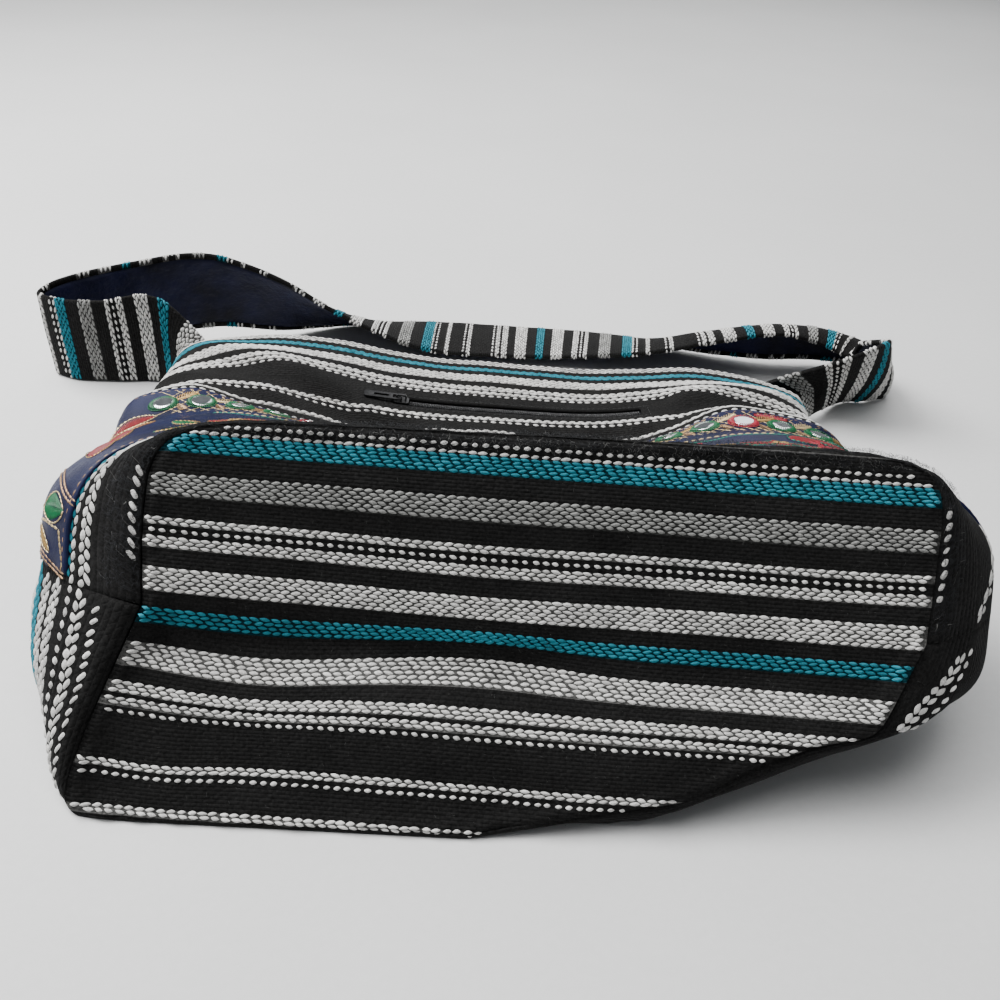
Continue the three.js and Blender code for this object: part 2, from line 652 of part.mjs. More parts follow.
addMesh(bag, 'strap', strapWall(strapAcross, 0, STRAP_THICK, 0), CLOTH_COLOURS.stripe, 0.95);
const liningDepth = STRAP_THICK + LINING_GAP;
const lining = strapWall(liningAcross, liningDepth, liningDepth + LINING_THICK, LINING_SKIPS);
addMesh(bag, 'strap_lining', lining, CLOTH_COLOURS.lining, 0.7);

export default bag;
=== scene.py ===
"""Looks of a soft striped crossbody bag that lies on its back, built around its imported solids.

Tables and sizes are millimetres in the part's own frame. The scene itself is in metres.
"""

import math

import bmesh
import bpy
import numpy as np
from mathutils import Matrix


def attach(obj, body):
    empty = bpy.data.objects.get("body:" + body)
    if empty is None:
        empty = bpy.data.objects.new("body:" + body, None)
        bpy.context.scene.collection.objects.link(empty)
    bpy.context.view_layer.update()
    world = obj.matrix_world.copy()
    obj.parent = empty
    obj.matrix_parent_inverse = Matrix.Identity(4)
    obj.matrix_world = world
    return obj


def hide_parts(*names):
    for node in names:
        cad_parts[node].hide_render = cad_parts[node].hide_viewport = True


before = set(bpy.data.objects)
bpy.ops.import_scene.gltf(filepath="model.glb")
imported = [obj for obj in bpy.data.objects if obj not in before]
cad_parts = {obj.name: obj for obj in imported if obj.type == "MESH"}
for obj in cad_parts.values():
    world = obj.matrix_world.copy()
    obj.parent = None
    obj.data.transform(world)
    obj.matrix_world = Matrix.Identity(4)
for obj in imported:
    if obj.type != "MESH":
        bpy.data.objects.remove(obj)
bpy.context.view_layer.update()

MM = 0.001
TURN = 2 * math.pi
rng = np.random.default_rng(11)

# Sizes shared with the solids
CLOTH = 2.0
PANEL_HEIGHT = 290.0
BAND_FROM, BAND_TO = 25.0, 178.0
BAND_LIFT, BAND_THICK = 0.3, 1.0
MIRROR_COUNT, MIRROR_PITCH = 19, 20.0
MIRROR_HEIGHT, MIRROR_RADIUS = 162.0, 5.5
MIRROR_LIFT, MIRROR_THICK = 2.1, 0.8
ZIP_HEIGHT, ZIP_SHIFT, ZIP_LENGTH, ZIP_SLOT = 219.0, 20.0, 150.0, 9.0
TAPE_MARGIN, SLIDER_LENGTH = 7.0, 9.5
STRAP_WIDTH = 58.0
ROOT_SHARE, ROOT_CLEAR, ROOT_OUT = 0.92, 1.2, 7.0
LINING_SKIPS = 3
SINK, SINK_SLANT, SINK_HALF, SINK_REACH = 11.0, 4.0, 164.0, 0.55

SECTION_COLUMNS = ["at", "y_back", "y_seam", "y_front", "x_left", "x_right", "z_seam", "z_front", "dip",
                   "tip", "box_back", "box_front", "skew_back", "skew_front", "lift", "tuck"]
SECTION_ROWS = np.array([
    [0.00, -225, -169, -119, -132, 196, 66, 125, 0, 0, 16, 9, -20, 9, 36, 9],
    [0.05, -212, -157, -107.5, -161, 219, 64, 119, 4, 0, 6, 4.6, -9, 7, 30, 6],
    [0.13, -188, -137, -94.5, -179, 234, 60, 111.5, 12, 0, 4.6, 3.4, -3, 5, 20, 2],
    [0.30, -138, -89, -58, -184, 224, 53, 92, 17, -3, 4.4, 3, 0, 3, 5, 0],
    [0.50, -80, -32, -8, -187, 213, 43, 66, 24, -4, 4.5, 2.8, 0, 0, 0, 0],
    [0.65, -37, 10, 23, -189, 210, 35, 54, 20, -2, 5, 2.6, 0, 0, 0, 0],
    [0.75, -8, 38, 51, -191, 209, 30, 50, 17, 4, 5, 2.6, 0, 0, 0, 0],
    [0.90, 36, 80, 92, -194, 211, 21, 47, 15, 8, 5, 2.6, 0, 0, 0, 0],
    [1.00, 66, 107, 119, -195, 214, 15, 43, 14, 8, 4, 2.6, 0, 0, 0, 0],
])
VALLEY_MIDDLE, VALLEY_WIDTH, VALLEY_FLAT = 0.03, 0.52, 4
LIFT_FROM, REST_FLAT = 0.2, 1.03

STRAP_COLUMNS = ["x", "y", "z", "lean", "cup", "rake"]
STRAP_ROWS = np.array([
    [-208, 122, 29.5, 10, 0, 0], [-243, 117, 29.5, 0, 0, 0], [-270, 117, 29.5, 0, 0, 0],
    [-287, 126, 30, 0, 0, 0], [-277, 140, 34, 0, 0, 0], [-240, 159, 39, 2, 0, 0],
    [-190, 179, 43, 6, 10, 0], [-145, 189, 33, 24, 14, 0], [-98, 196, 20, 58, 12, 0],
    [-40, 197, 8.6, 82, 6, 0], [20, 197, 7.4, 84, 6, 0], [78, 195, 9, 80, 6, 0],
    [120, 188, 16, 72, 15, 0], [160, 186, 26, 56, 44, 0], [205, 188, 31, 40, 66, 0],
    [242, 187, 31.5, 48, 74, 0], [271, 174, 30, 58, 66, 0], [282.5, 151, 28.4, 34, 54, 0],
    [272, 129, 27, -12, 26, 4], [242, 117, 26.2, -27, 6, 10],
])
STRAP_OVER, STRAP_ACROSS, STRAP_ALONG = 1.06, 43, 620

# The loom's repeat: colour and number of rows of yarn, K black, W white, T teal, G grey
LOOM_CHART = ("K2 W1 K1 W1 T5 K6 G6 K6 W2 K1 W1 K1 W3 K5 W6 K4 T4 K5 W6 K4 W3 K1 W2 K1 W1 K11 "
              "W2 K1 W1 K7 W2 K2")
FRONT_LOW_CHART = "K1 W1 K5 W2 K1 W1 T3 K4"
FRONT_RIGHT_CHART = "K8 W2 K1 W1 K9"
BACK_LEFT_CHART = "K3 W1 K1 W2 K1 W1 K2 W3 K1 W3 K1 T4 K1 W4 K5"
BACK_RIGHT_CHART = "K2 W2 K1 W1 K27"
FRONT_LOW_TO, BACK_LOW_TO = 45.0, 49.5
DARK_ROW, DARK_SPAN = 78.0, 10.9
SIDE_DEPTH, SEAM_ROW_TO = 58.0, 4.0
SIDE_FROM, SIDE_EASE, SLIP_LEFT, SLIP_RIGHT = 150.0, 45.0, 8.0, 15.0

# Rows of the repeat: their pitch, and a row's number at a height on each cloth
ROW_PITCH, STRAP_PITCH, BOTTOM_PITCH = 1.5, 1.4, 1.585
FRONT_ROW, FRONT_ROW_AT = 53.0, 271.7
BACK_ROW, BOTTOM_FIRST = 204.0, 1.9
STRAP_ROW, STRAP_ROW_AT, STRAP_REPEATS = 78.0, 14.0, 10

# Floats of yarn: sizes, and how much each measure varies
FLOAT_PITCH, FLOAT_LENGTH, FLOAT_ALONE, FLOAT_WIDTH, FLOAT_HEIGHT = 5.0, 4.6, 3.4, 1.62, 0.75
FLOAT_SLANT, FLOAT_INSET, FLOAT_LIFT = 0.13, 1.6, 0.12
VARY_U, VARY_V, VARY_LENGTH, VARY_WIDTH, VARY_HEIGHT, VARY_ANGLE = 0.16, 0.06, 0.08, 0.06, 0.1, 0.06
BOTTOM_STEP = 4.25
YARNS = {
    "K": (0.0085, 0.0083, 0.0082), "W": (0.62, 0.61, 0.59),
    "T": (0.020, 0.19, 0.25), "G": (0.27, 0.27, 0.26),
}
DIMMED = 0.10

# How rows of the bottom's cloth lie: their tilt, the rise at the left edge, and where they bow down or up,
# as middle, reach along and across, and how far
BOTTOM_TILT, TILT_MIDDLE = 0.021, 30.0
LEFT_RISE, LEFT_EDGE, LEFT_EASE = 4.0, -135.0, 26.0
ROW_BOWS = [
    (-75.0, 106.0, 38.0, 20.0, 4.2),
    (18.0, 96.0, 42.0, 13.0, -4.6),
    (-112.0, 142.0, 26.0, 16.0, 2.0),
]

# Ends of a row that lies past the rim, whose floats are then left out
PAST_RIM = -100.0, 160.0

# Small waves of each cloth: height, scale and phase
PANEL_WAVES = [(0.9, 17.0, 0.4), (0.45, 7.0, 1.3)]
BOTTOM_WAVES = [(0.9, 14.0, 2.2), (0.4, 6.0, 0.3)]
STRAP_WAVES = [(0.25, 6.0, 0.9)]
LINING_WAVES = [(0.25, 5.0, 0.6)]
BAND_WAVES = [(0.22, 3.5, 1.1)]
ROW_WAVES = [(1.5, 26.0, 0.8)]

# The roll beside a seam: depth and width of its groove, then height, place and width of the roll
PANEL_ROLL = (1.4, 1.8, 0.9, 4.4, 2.4)
BOTTOM_ROLL = (1.4, 1.7, 1.1, 4.2, 2.4)

# Puckers at the side seams, at the panels' bottom seam and at the bottom's rim
SIDE_REACH, SIDE_CALM, SIDE_PUCKER, SIDE_WAVE = 9.0, 0.7, 0.5, (2.6, 1.7, 17.0)
SEAM_REACH, SEAM_EASE, SEAM_PUCKER, SEAM_WAVE = 7.0, 2.5, 0.35, (2.9, 2.0, 23.0)
RIM_REACH, RIM_LEAN, RIM_PUCKER, RIM_WAVE = 4.0, 2.3, 0.4, (3.1, 2.0, 19.0)

# Where folds ease out: inside the bottom's rim, round the zip and near the floor
RIM_EASE = 12.0
ZIP_FLAT, ZIP_EASE = 12.0, 16.0
REST_FROM, REST_EASE = 5.0, 12.0
LEAST_Z, LEAST_INNER_Z, LEAST_HAIR_Z = 0.05, 0.6, 0.1

# Folds of the cloth as ridges along a line: from (u, v) to (u, v), width and height
FRONT_FOLDS = [
    [-205, 286, -95, 214, 15, 4.5], [-190, 262, -70, 190, 10, -2.5], [-200, 230, -110, 196, 9, 2.5],
    [104, 226, 205, 268, 13, 4.0], [110, 212, 205, 232, 9, -2.5], [124, 187, 198, 187, 23, 9.5],
    [-222, 178, -152, 186, 24, 11.5], [-200, 100, -140, 128, 14, 2.0], [140, 120, 205, 150, 15, 3.0],
    [-60, 110, 70, 116, 26, -2.0], [-120, 62, -30, 74, 20, 1.8], [40, 70, 150, 62, 20, 1.6],
    [-126, 178, -45, 182, 26, -6.0], [25, 180, 100, 182, 26, -5.0],
    [-40, 262, 90, 258, 16, 1.6], [-230, 40, -180, 70, 12, 2.0], [185, 45, 235, 75, 12, 2.2],
]
BACK_FOLDS = [
    [-236, 40, -196, 90, 10, 2.5], [-236, 92, -196, 120, 9, -1.8], [-232, 140, -200, 190, 11, 2.2],
    [-226, 215, -200, 260, 9, 1.8], [190, 40, 236, 76, 12, 2.4], [196, 100, 236, 140, 11, 2.0],
    [200, 180, 232, 230, 12, 2.0],
]
BOTTOM_FOLDS = [
    [-140, 90, 60, 96, 11, -4.5], [-140, 66, 70, 70, 17, 3.2], [100, 94, 195, 98, 12, -3.5],
    [90, 66, 190, 72, 18, 2.5], [-120, 118, 40, 122, 18, 2.5], [50, 134, 150, 112, 13, 2.2],
    [-60, 28, 80, 36, 20, 1.8], [110, 30, 190, 40, 16, 2.0], [-165, 84, -118, 90, 9, -4.0],
    [-110, 140, 20, 146, 12, -1.8], [10, 92, 70, 60, 12, 1.6],
]

THREADS = {
    "gold": (0.36, 0.22, 0.075), "tan": (0.27, 0.16, 0.085), "cream": (0.47, 0.36, 0.19),
    "green": (0.004, 0.105, 0.036), "mint": (0.010, 0.14, 0.10), "red": (0.19, 0.008, 0.013),
    "rose": (0.33, 0.020, 0.038), "black": (0.006, 0.006, 0.0065),
    "teeth": (0.022, 0.022, 0.023), "cord": (0.012, 0.012, 0.013),
}

# Camera at the photograph's place: position, pitch below level, roll and focal length
CAMERA_AT = (20.0, -466.0, 346.0)
CAMERA_PITCH, CAMERA_ROLL = 36.29, 2.946
LENS, SENSOR = 36.0, 36.0


def smooth(t):
    t = np.clip(t, 0.0, 1.0)
    return t * t * (3.0 - 2.0 * t)


def bell(x, width):
    return np.exp(-(x / width) ** 2)


def unit(v):
    return v / np.maximum(np.linalg.norm(v, axis=-1, keepdims=True), 1e-9)


def run_along(points):
    """Length along a line of points, from 0 at the first."""
    steps = np.linalg.norm(np.diff(points, axis=0), axis=1)
    return np.concatenate([[0.0], np.cumsum(steps)])


def turned(u, v, angle, along, across=0.0):
    """A place moved along a direction and across it."""
    c, s = np.cos(angle), np.sin(angle)
    return u + along * c - across * s, v + along * s + across * c


def curve_through(places, values, at):
    """Cubic between each two of the values, which are along the first axis."""
    values = np.asarray(values, float)
    at = np.atleast_1d(np.asarray(at, float))
    spread = (-1,) + (1,) * (values.ndim - 1)
    before = np.maximum(np.arange(len(places)) - 1, 0)
    after = np.minimum(np.arange(len(places)) + 1, len(places) - 1)
    slope = (values[after] - values[before]) / (places[after] - places[before]).reshape(spread)
    i = np.clip(np.searchsorted(places, at) - 1, 0, len(places) - 2)
    span = (places[i + 1] - places[i]).reshape(spread)
    t = (at - places[i]).reshape(spread) / span
    start = (1 + 2 * t) * (1 - t) ** 2 * values[i] + t * (1 - t) ** 2 * span * slope[i]
    end = t * t * (3 - 2 * t) * values[i + 1] + t * t * (t - 1) * span * slope[i + 1]
    return start + end


def ripple(u, v, scale, phase):
    """Gentle uneven waves, the same each run, about -1 to 1."""
    a = np.sin(u / scale * 1.00 + 0.7 * np.sin(v / scale * 0.63 + phase) + phase)
    b = np.sin(v / scale * 1.31 + 0.9 * np.sin(u / scale * 0.47 + 1.7 * phase) + 2.1 + phase)
    c = np.sin((u + 0.6 * v) / scale * 0.59 + 4.0 + 1.3 * phase)
    return (a + b + c) / 3.0


def waves(rows, u, v):
    return sum(height * ripple(u, v, scale, phase) for height, scale, phase in rows)


def wander(x, pitch, sway, slow, shift=0.0):
    """A wave whose pitch wanders, as puckers along a seam do."""
    return np.sin(x / pitch + sway * np.sin(x / slow) + shift)


def seam_roll(inside, depth, groove, height, place, width):
    return height * bell(inside - place, width) - depth * bell(inside, groove)


def fold_height(folds, u, v):
    total = np.zeros(np.broadcast(u, v).shape)
    for u0, v0, u1, v1, width, height in folds:
        du, dv = u1 - u0, v1 - v0
        length = math.hypot(du, dv)
        along = ((u - u0) * du + (v - v0) * dv) / length
        off = ((v - v0) * du - (u - u0) * dv) / length
        fade_in = smooth((along + 0.25 * length) / (0.5 * length))
        fade_out = smooth((1.25 * length - along) / (0.5 * length))
        total = total + height * bell(off, width) * fade_in * fade_out
    return total


# The bag's shell

SHARES = np.linspace(0.0, 1.0, 291)
RUNS = np.linspace(0.0, 1.0, 321)
SECTION_STEPS = 400
STATIONS = {name: curve_through(SECTION_ROWS[:, 0], SECTION_ROWS[:, k], SHARES)
            for k, name in enumerate(SECTION_COLUMNS)}
BOTTOM_TOP = np.array([0.0, SECTION_ROWS[0, 3], SECTION_ROWS[0, 7]])
BOTTOM_LOW = np.array([0.0, SECTION_ROWS[0, 1], 0.0])
BOTTOM_SLOPE = (BOTTOM_TOP[1] - BOTTOM_LOW[1]) / BOTTOM_TOP[2]
BOTTOM_TALL = float(np.linalg.norm(BOTTOM_TOP - BOTTOM_LOW))
BOTTOM_DOWN = (BOTTOM_LOW - BOTTOM_TOP) / BOTTOM_TALL
INWARD = unit(np.array([0.0, BOTTOM_TOP[2], BOTTOM_LOW[1] - BOTTOM_TOP[1]]))


def half_section(side, k):
    """One half of the section at share number k, from the left seam to the right."""
    q = {name: values[k] for name, values in STATIONS.items()}
    angle = np.pi * (1 - np.linspace(0, 1, SECTION_STEPS + 1))
    power = 2.0 / q["box_" + side]
    across = np.sign(np.cos(angle)) * np.abs(np.cos(angle)) ** power
    rise = np.abs(np.sin(angle)) ** power
    middle, half = (q["x_left"] + q["x_right"]) / 2, (q["x_right"] - q["x_left"]) / 2
    tuck = q["tuck"] * smooth(-across) * (1 - rise) ** 2
    x = middle + half * across + q["skew_" + side] * rise + tuck
    y = q["y_seam"] + (q["y_" + side] - q["y_seam"]) * rise
    if side == "front":
        valley = np.exp(-((across - VALLEY_MIDDLE) / VALLEY_WIDTH) ** VALLEY_FLAT)
        z = q["z_seam"] + (q["z_front"] - q["z_seam"] - q["dip"] * valley - q["tip"] * across) * rise
    else:
        lift = max(q["lift"], 0.0) * smooth((across - LIFT_FROM) / (1 - LIFT_FROM)) * rise
        z = q["z_seam"] * (1 - np.minimum(rise * REST_FLAT, 1)) + lift
        y = y + lift * BOTTOM_SLOPE
    return np.stack([x, y, z], 1)


def by_run(points):
    """The same line with its points evenly spaced, and its length."""
    runs = run_along(points)
    even = np.stack([np.interp(RUNS * runs[-1], runs, points[:, k]) for k in range(3)], 1)
    return even, runs[-1]


def look_up(grid, row, column):
    """Values of a grid between its points, at fractional rows and columns."""
    row = np.clip(row, 0, grid.shape[0] - 1.000001)
    column = np.clip(column, 0, grid.shape[1] - 1.000001)
    i, j = np.floor(row).astype(int), np.floor(column).astype(int)
    a, b = (row - i)[..., None], (column - j)[..., None]
    low = grid[i, j] * (1 - b) + grid[i, j + 1] * b
    high = grid[i + 1, j] * (1 - b) + grid[i + 1, j + 1] * b
    return low * (1 - a) + high * a


HALVES = {side: [by_run(half_section(side, k)) for k in range(len(SHARES))] for side in ("front", "back")}
SEAM_PAD = 6


class Panel:
    """Front or back: u is millimetres along the width from the middle, v up from the bottom seam."""

    def __init__(self, side, folds):
        other = "back" if side == "front" else "front"
        self.sign = 1.0 if side == "front" else -1.0
        points = np.array([h[0] for h in HALVES[side]])
        beyond = np.array([h[0] for h in HALVES[other]])
        self.lengths = np.array([h[1] for h in HALVES[side]])
        ring = [beyond[:, SEAM_PAD:0:-1], points, beyond[:, -2:-2 - SEAM_PAD:-1]]
        normals = self.find_normals(ring)
        u = (RUNS[None, :] - 0.5) * self.lengths[:, None]
        v = (SHARES * PANEL_HEIGHT)[:, None] + 0 * u
        height = self.wrinkles(folds, u, v)
        if side == "back":
            height = height * smooth((points[..., 2] - REST_FROM) / REST_EASE)
        self.points = points + normals * height[..., None]
        self.points[..., 2] = np.maximum(self.points[..., 2], 0.0)
        ring[1] = self.points
        self.normals = self.find_normals(ring)

    def find_normals(self, ring):
        ring = np.concatenate(ring, 1)
        right = np.gradient(ring, axis=1)[:, SEAM_PAD:-SEAM_PAD]
        away = np.gradient(ring[:, SEAM_PAD:-SEAM_PAD], axis=0)
        return self.sign * unit(np.cross(right, away))

    def wrinkles(self, folds, u, v):
        """Folds and waves, flat round the zip, with puckers along the seams."""
        height = fold_height(folds, u, v) + waves(PANEL_WAVES, u, v)
        at_side = bell(self.lengths[:, None] / 2 - np.abs(u), SIDE_REACH)
        height = height * (1 - SIDE_CALM * at_side) + SIDE_PUCKER * at_side * wander(v, *SIDE_WAVE)
        at_seam = bell(v, SEAM_REACH)
        height = height * (1 - at_seam) + seam_roll(v, *PANEL_ROLL)
        height = height + SEAM_PUCKER * at_seam * wander(u, *SEAM_WAVE) * smooth(v / SEAM_EASE)
        if self.sign > 0:
            du = np.maximum(np.abs(u - ZIP_SHIFT) - ZIP_LENGTH / 2 - ZIP_FLAT, 0)
            dv = np.maximum(np.abs(v - ZIP_HEIGHT) - ZIP_FLAT, 0)
            height = height * smooth(np.hypot(du, dv) / ZIP_EASE)
        return height

    def length_at(self, v):
        return np.interp(v / PANEL_HEIGHT, SHARES, self.lengths)

    def ends_at(self, v):
        half = self.length_at(v) / 2
        return -half, half

    def at_run(self, run, v, height=0.0):
        row = v / PANEL_HEIGHT * (len(SHARES) - 1)
        column = run * (len(RUNS) - 1)
        height = np.asarray(height, float)
        return look_up(self.points, row, column) + look_up(self.normals, row, column) * height[..., None]

    def at(self, u, v, height=0.0):
        return self.at_run(0.5 + u / self.length_at(v), v, height)


front = Panel("front", FRONT_FOLDS)
back = Panel("back", BACK_FOLDS)


class Bottom:
    """The bottom panel: u is millimetres along its width, v down from its upper edge."""

    def __init__(self):
        rim = np.concatenate([HALVES["front"][0][0], HALVES["back"][0][0][::-1]])
        self.rim = np.stack([rim[:, 0], (rim - BOTTOM_TOP) @ BOTTOM_DOWN], 1)
        self.ring = np.concatenate([self.rim, self.rim[:1]])
        self.middle = np.array([np.mean([self.rim[:, 0].min(), self.rim[:, 0].max()]), BOTTOM_TALL / 2])

    def ends_at(self, v):
        """Leftmost and rightmost u of the panel at a height."""
        a, b = self.ring[:-1], self.ring[1:]
        crosses = (a[:, 1] - v) * (b[:, 1] - v) <= 0
        if not crosses.any():
            return PAST_RIM
        found = []
        for p, q in zip(a[crosses], b[crosses]):
            t = 0.5 if p[1] == q[1] else (v - p[1]) / (q[1] - p[1])
            found.append(p[0] + (q[0] - p[0]) * t)
        return min(found), max(found)

    def edge_share(self, u, v):
        """0 at the middle and 1 on the rim, and the distance from the middle to the rim."""
        angle = np.arctan2(v - self.middle[1], u - self.middle[0])
        out = self.rim - self.middle
        rim_angle = np.arctan2(out[:, 1], out[:, 0])
        order = np.argsort(rim_angle)
        reach = np.hypot(out[:, 0], out[:, 1])
        limit = np.interp(angle, rim_angle[order], reach[order], period=2 * np.pi)
        return np.hypot(u - self.middle[0], v - self.middle[1]) / limit, limit

    def pulled(self, u, v):
        """Where a row of the cloth lies: tilted, bowed and a little higher towards the left edge."""
        between = np.sin(np.pi * np.clip(v / BOTTOM_TALL, 0, 1))
        left = LEFT_RISE * np.exp(-np.maximum(u - LEFT_EDGE, 0) / LEFT_EASE) * between
        bowed = sum(amount * np.exp(-((u - u0) / reach) ** 2 - ((v - v0) / depth) ** 2)
                    for u0, v0, reach, depth, amount in ROW_BOWS)
        return v + BOTTOM_TILT * (u - TILT_MIDDLE) - left + bowed + waves(ROW_WAVES, u, v) * between

    def at(self, u, v, height=0.0):
        share, limit = self.edge_share(u, v)
        share = np.clip(share, 0, 1)
        leftness = (self.middle[0] - u) / SINK_HALF
        crease = bell(v - self.middle[1], SINK_REACH * BOTTOM_TALL / 2)
        sink = (SINK + SINK_SLANT * leftness) * crease * (1 - share ** 4)
        inside = (1 - share) * limit
        folds = (fold_height(BOTTOM_FOLDS, u, v) + waves(BOTTOM_WAVES, u, v)) * smooth(inside / RIM_EASE)
        puckers = RIM_PUCKER * bell(inside - RIM_REACH, RIM_REACH) * wander(u, *RIM_WAVE, v / RIM_LEAN)
        out = folds + seam_roll(inside, *BOTTOM_ROLL) + puckers + height - sink
        plane = BOTTOM_TOP + np.stack([u, 0 * u, 0 * u], -1) + v[..., None] * BOTTOM_DOWN
        point = plane - INWARD * out[..., None]
        point[..., 2] = np.maximum(point[..., 2], LEAST_Z)
        return point


bottom = Bottom()


class Strap:
    """The strap: u is millimetres across its width from the middle, v along it from the left root."""

    def __init__(self):
        self.acrosses = np.linspace(-STRAP_OVER, STRAP_OVER, STRAP_ACROSS)
        rows = [self.root_row(ROOT_SHARE, "left"), self.root_row(1.0, "left"), self.leaving_row("left")]
        rows += [self.free_row(k) for k in range(len(STRAP_ROWS))]
        rows += [self.leaving_row("right"), self.root_row(1.0, "right"), self.root_row(ROOT_SHARE, "right")]
        rows = np.array(rows)
        self.places = run_along(rows[:, STRAP_ACROSS // 2])
        self.length = self.places[-1]
        self.points = curve_through(self.places, rows, np.linspace(0, self.length, STRAP_ALONG))
        along = np.gradient(self.points, axis=0)
        up = np.gradient(self.points, axis=1)
        self.normals = -unit(np.cross(along, up))

    def root_row(self, share, end):
        """A row inside the bag's mouth, across one side seam."""
        v = share * PANEL_HEIGHT
        row = []
        for w in self.acrosses:
            panel = front if w >= 0 else back
            run = abs(w) * STRAP_WIDTH / 2 / panel.length_at(v)
            run = run if end == "left" else 1 - run
            row.append(panel.at_run(np.array(run), np.array(v), -CLOTH - ROOT_CLEAR))
        return np.array(row)

    def leaving_row(self, end):
        edge = self.root_row(1.0, end)
        return edge + ROOT_OUT * unit(edge - self.root_row(ROOT_SHARE, end))

    def free_row(self, k):
        """A row of the table: cupped, leaning and raked about its middle."""
        row = dict(zip(STRAP_COLUMNS, STRAP_ROWS[k]))
        before, after = STRAP_ROWS[max(k - 1, 0)], STRAP_ROWS[min(k + 1, len(STRAP_ROWS) - 1)]
        inside = unit(np.array([after[1] - before[1], before[0] - after[0], 0.0]))
        lean, cup = math.radians(row["lean"]), math.radians(max(row["cup"], 1))
        radius = STRAP_WIDTH / 2 / cup
        up = radius * (np.sin(lean + cup * self.acrosses) - math.sin(lean))
        into = radius * (math.cos(lean) - np.cos(lean + cup * self.acrosses))
        middle = np.array([row["x"], row["y"], row["z"]])
        along = np.array([-inside[1], inside[0], 0.0])
        ahead = row["rake"] * self.acrosses
        return middle + up[:, None] * np.array([0, 0, 1.0]) + into[:, None] * inside + ahead[:, None] * along

    def at(self, u, v, height=0.0):
        row = v / self.length * (STRAP_ALONG - 1)
        column = (u / (STRAP_WIDTH / 2) - self.acrosses[0]) / (self.acrosses[1] - self.acrosses[0])
        height = np.asarray(height, float) + waves(STRAP_WAVES, u, v)
        point = look_up(self.points, row, column) + look_up(self.normals, row, column) * height[..., None]
        point[..., 2] = np.maximum(point[..., 2], LEAST_Z)
        return point


strap = Strap()


class Wrapped:
    """The strap's cloth round its folded edges: u runs along the profile, v along the strap."""

    def __init__(self, profile):
        self.profile = profile
        self.around = run_along(profile)
        self.around -= self.around[-1] / 2
        along = unit(np.gradient(profile, axis=0))
        self.out = np.stack([-along[:, 1], along[:, 0]], 1)

    def at(self, u, v, height=0.0):
        w, depth, side, out = (np.interp(u, self.around, values)
                               for values in (*self.profile.T, *self.out.T))
        return strap.at(w + side * height, v, depth + out * height)


# Meshes

def link_object(name, data):
    made = bpy.data.objects.new(name, data)
    bpy.context.scene.collection.objects.link(made)
    return made


def new_mesh_object(name, points, faces, uv=None, colours=None):
    """One object from points in millimetres and quads or triangles as arrays."""
    mesh = bpy.data.meshes.new(name)
    faces = np.asarray(faces, np.int32)
    mesh.vertices.add(len(points))
    mesh.vertices.foreach_set("co", (np.asarray(points) * MM).astype(np.float32).ravel())
    mesh.loops.add(faces.size)
    mesh.loops.foreach_set("vertex_index", faces.ravel())
    mesh.polygons.add(len(faces))
    mesh.polygons.foreach_set("loop_start", np.arange(0, faces.size, faces.shape[1], dtype=np.int32))
    mesh.polygons.foreach_set("use_smooth", np.ones(len(faces), bool))
    if uv is not None:
        layer = mesh.uv_layers.new(name="cloth")
        layer.data.foreach_set("uv", np.asarray(uv, np.float32)[faces.ravel()].ravel())
    if colours is not None:
        layer = mesh.attributes.new("yarn", "FLOAT_COLOR", "POINT")
        rgba = np.concatenate([colours, np.ones((len(colours), 1))], 1)
        layer.data.foreach_set("color", rgba.astype(np.float32).ravel())
    mesh.update(calc_edges=True)
    mesh.validate()
    return link_object(name, mesh)


def strips(near, after):
    """Quads between columns of point numbers and the columns after them."""
    return np.stack([near[:-1], near[1:], after[1:], after[:-1]], -1).reshape(-1, 4)


def wall(name, outer, inner, uv, keep=None):
    """A closed wall between two grids of points, with the quads where keep is false left open."""
    rows, columns = outer.shape[:2]
    keep = np.ones((rows - 1, columns - 1), bool) if keep is None else keep
    number = np.arange(rows * columns).reshape(rows, columns)
    layer = rows * columns
    i, j = np.nonzero(keep)
    a, b, c, d = number[i, j], number[i, j + 1], number[i + 1, j + 1], number[i + 1, j]
    quads = [np.stack([a, b, c, d], 1), np.stack([a, d, c, b], 1) + layer]
    padded = np.pad(keep, 1)
    for axis in (0, 1):
        here = padded[1:, 1:-1] if axis == 0 else padded[1:-1, 1:]
        there = padded[:-1, 1:-1] if axis == 0 else padded[1:-1, :-1]
        for i, j in np.argwhere(here != there):
            p = number[i, j]
            q = number[i, j + 1] if axis == 0 else number[i + 1, j]
            flip = here[i, j] != (axis == 1)
            edge = [q, p, p + layer, q + layer] if flip else [p, q, q + layer, p + layer]
            quads.append(np.array([edge]))
    points = np.concatenate([outer.reshape(-1, 3), inner.reshape(-1, 3)])
    both = np.concatenate([uv.reshape(-1, 2), uv.reshape(-1, 2)])
    return new_mesh_object(name, points, np.concatenate(quads), both)


# A raised thread's grid, along and across, and its shape: slim ends and the share that is sunk
GRAIN_YARN = np.linspace(-1, 1, 6), np.linspace(-1, 1, 4)
GRAIN_THREAD = np.linspace(-1, 1, 4), np.linspace(-1, 1, 3)
GRAIN_SLIM, GRAIN_POWER, GRAIN_SUNK = 0.82, 1.8, 0.25


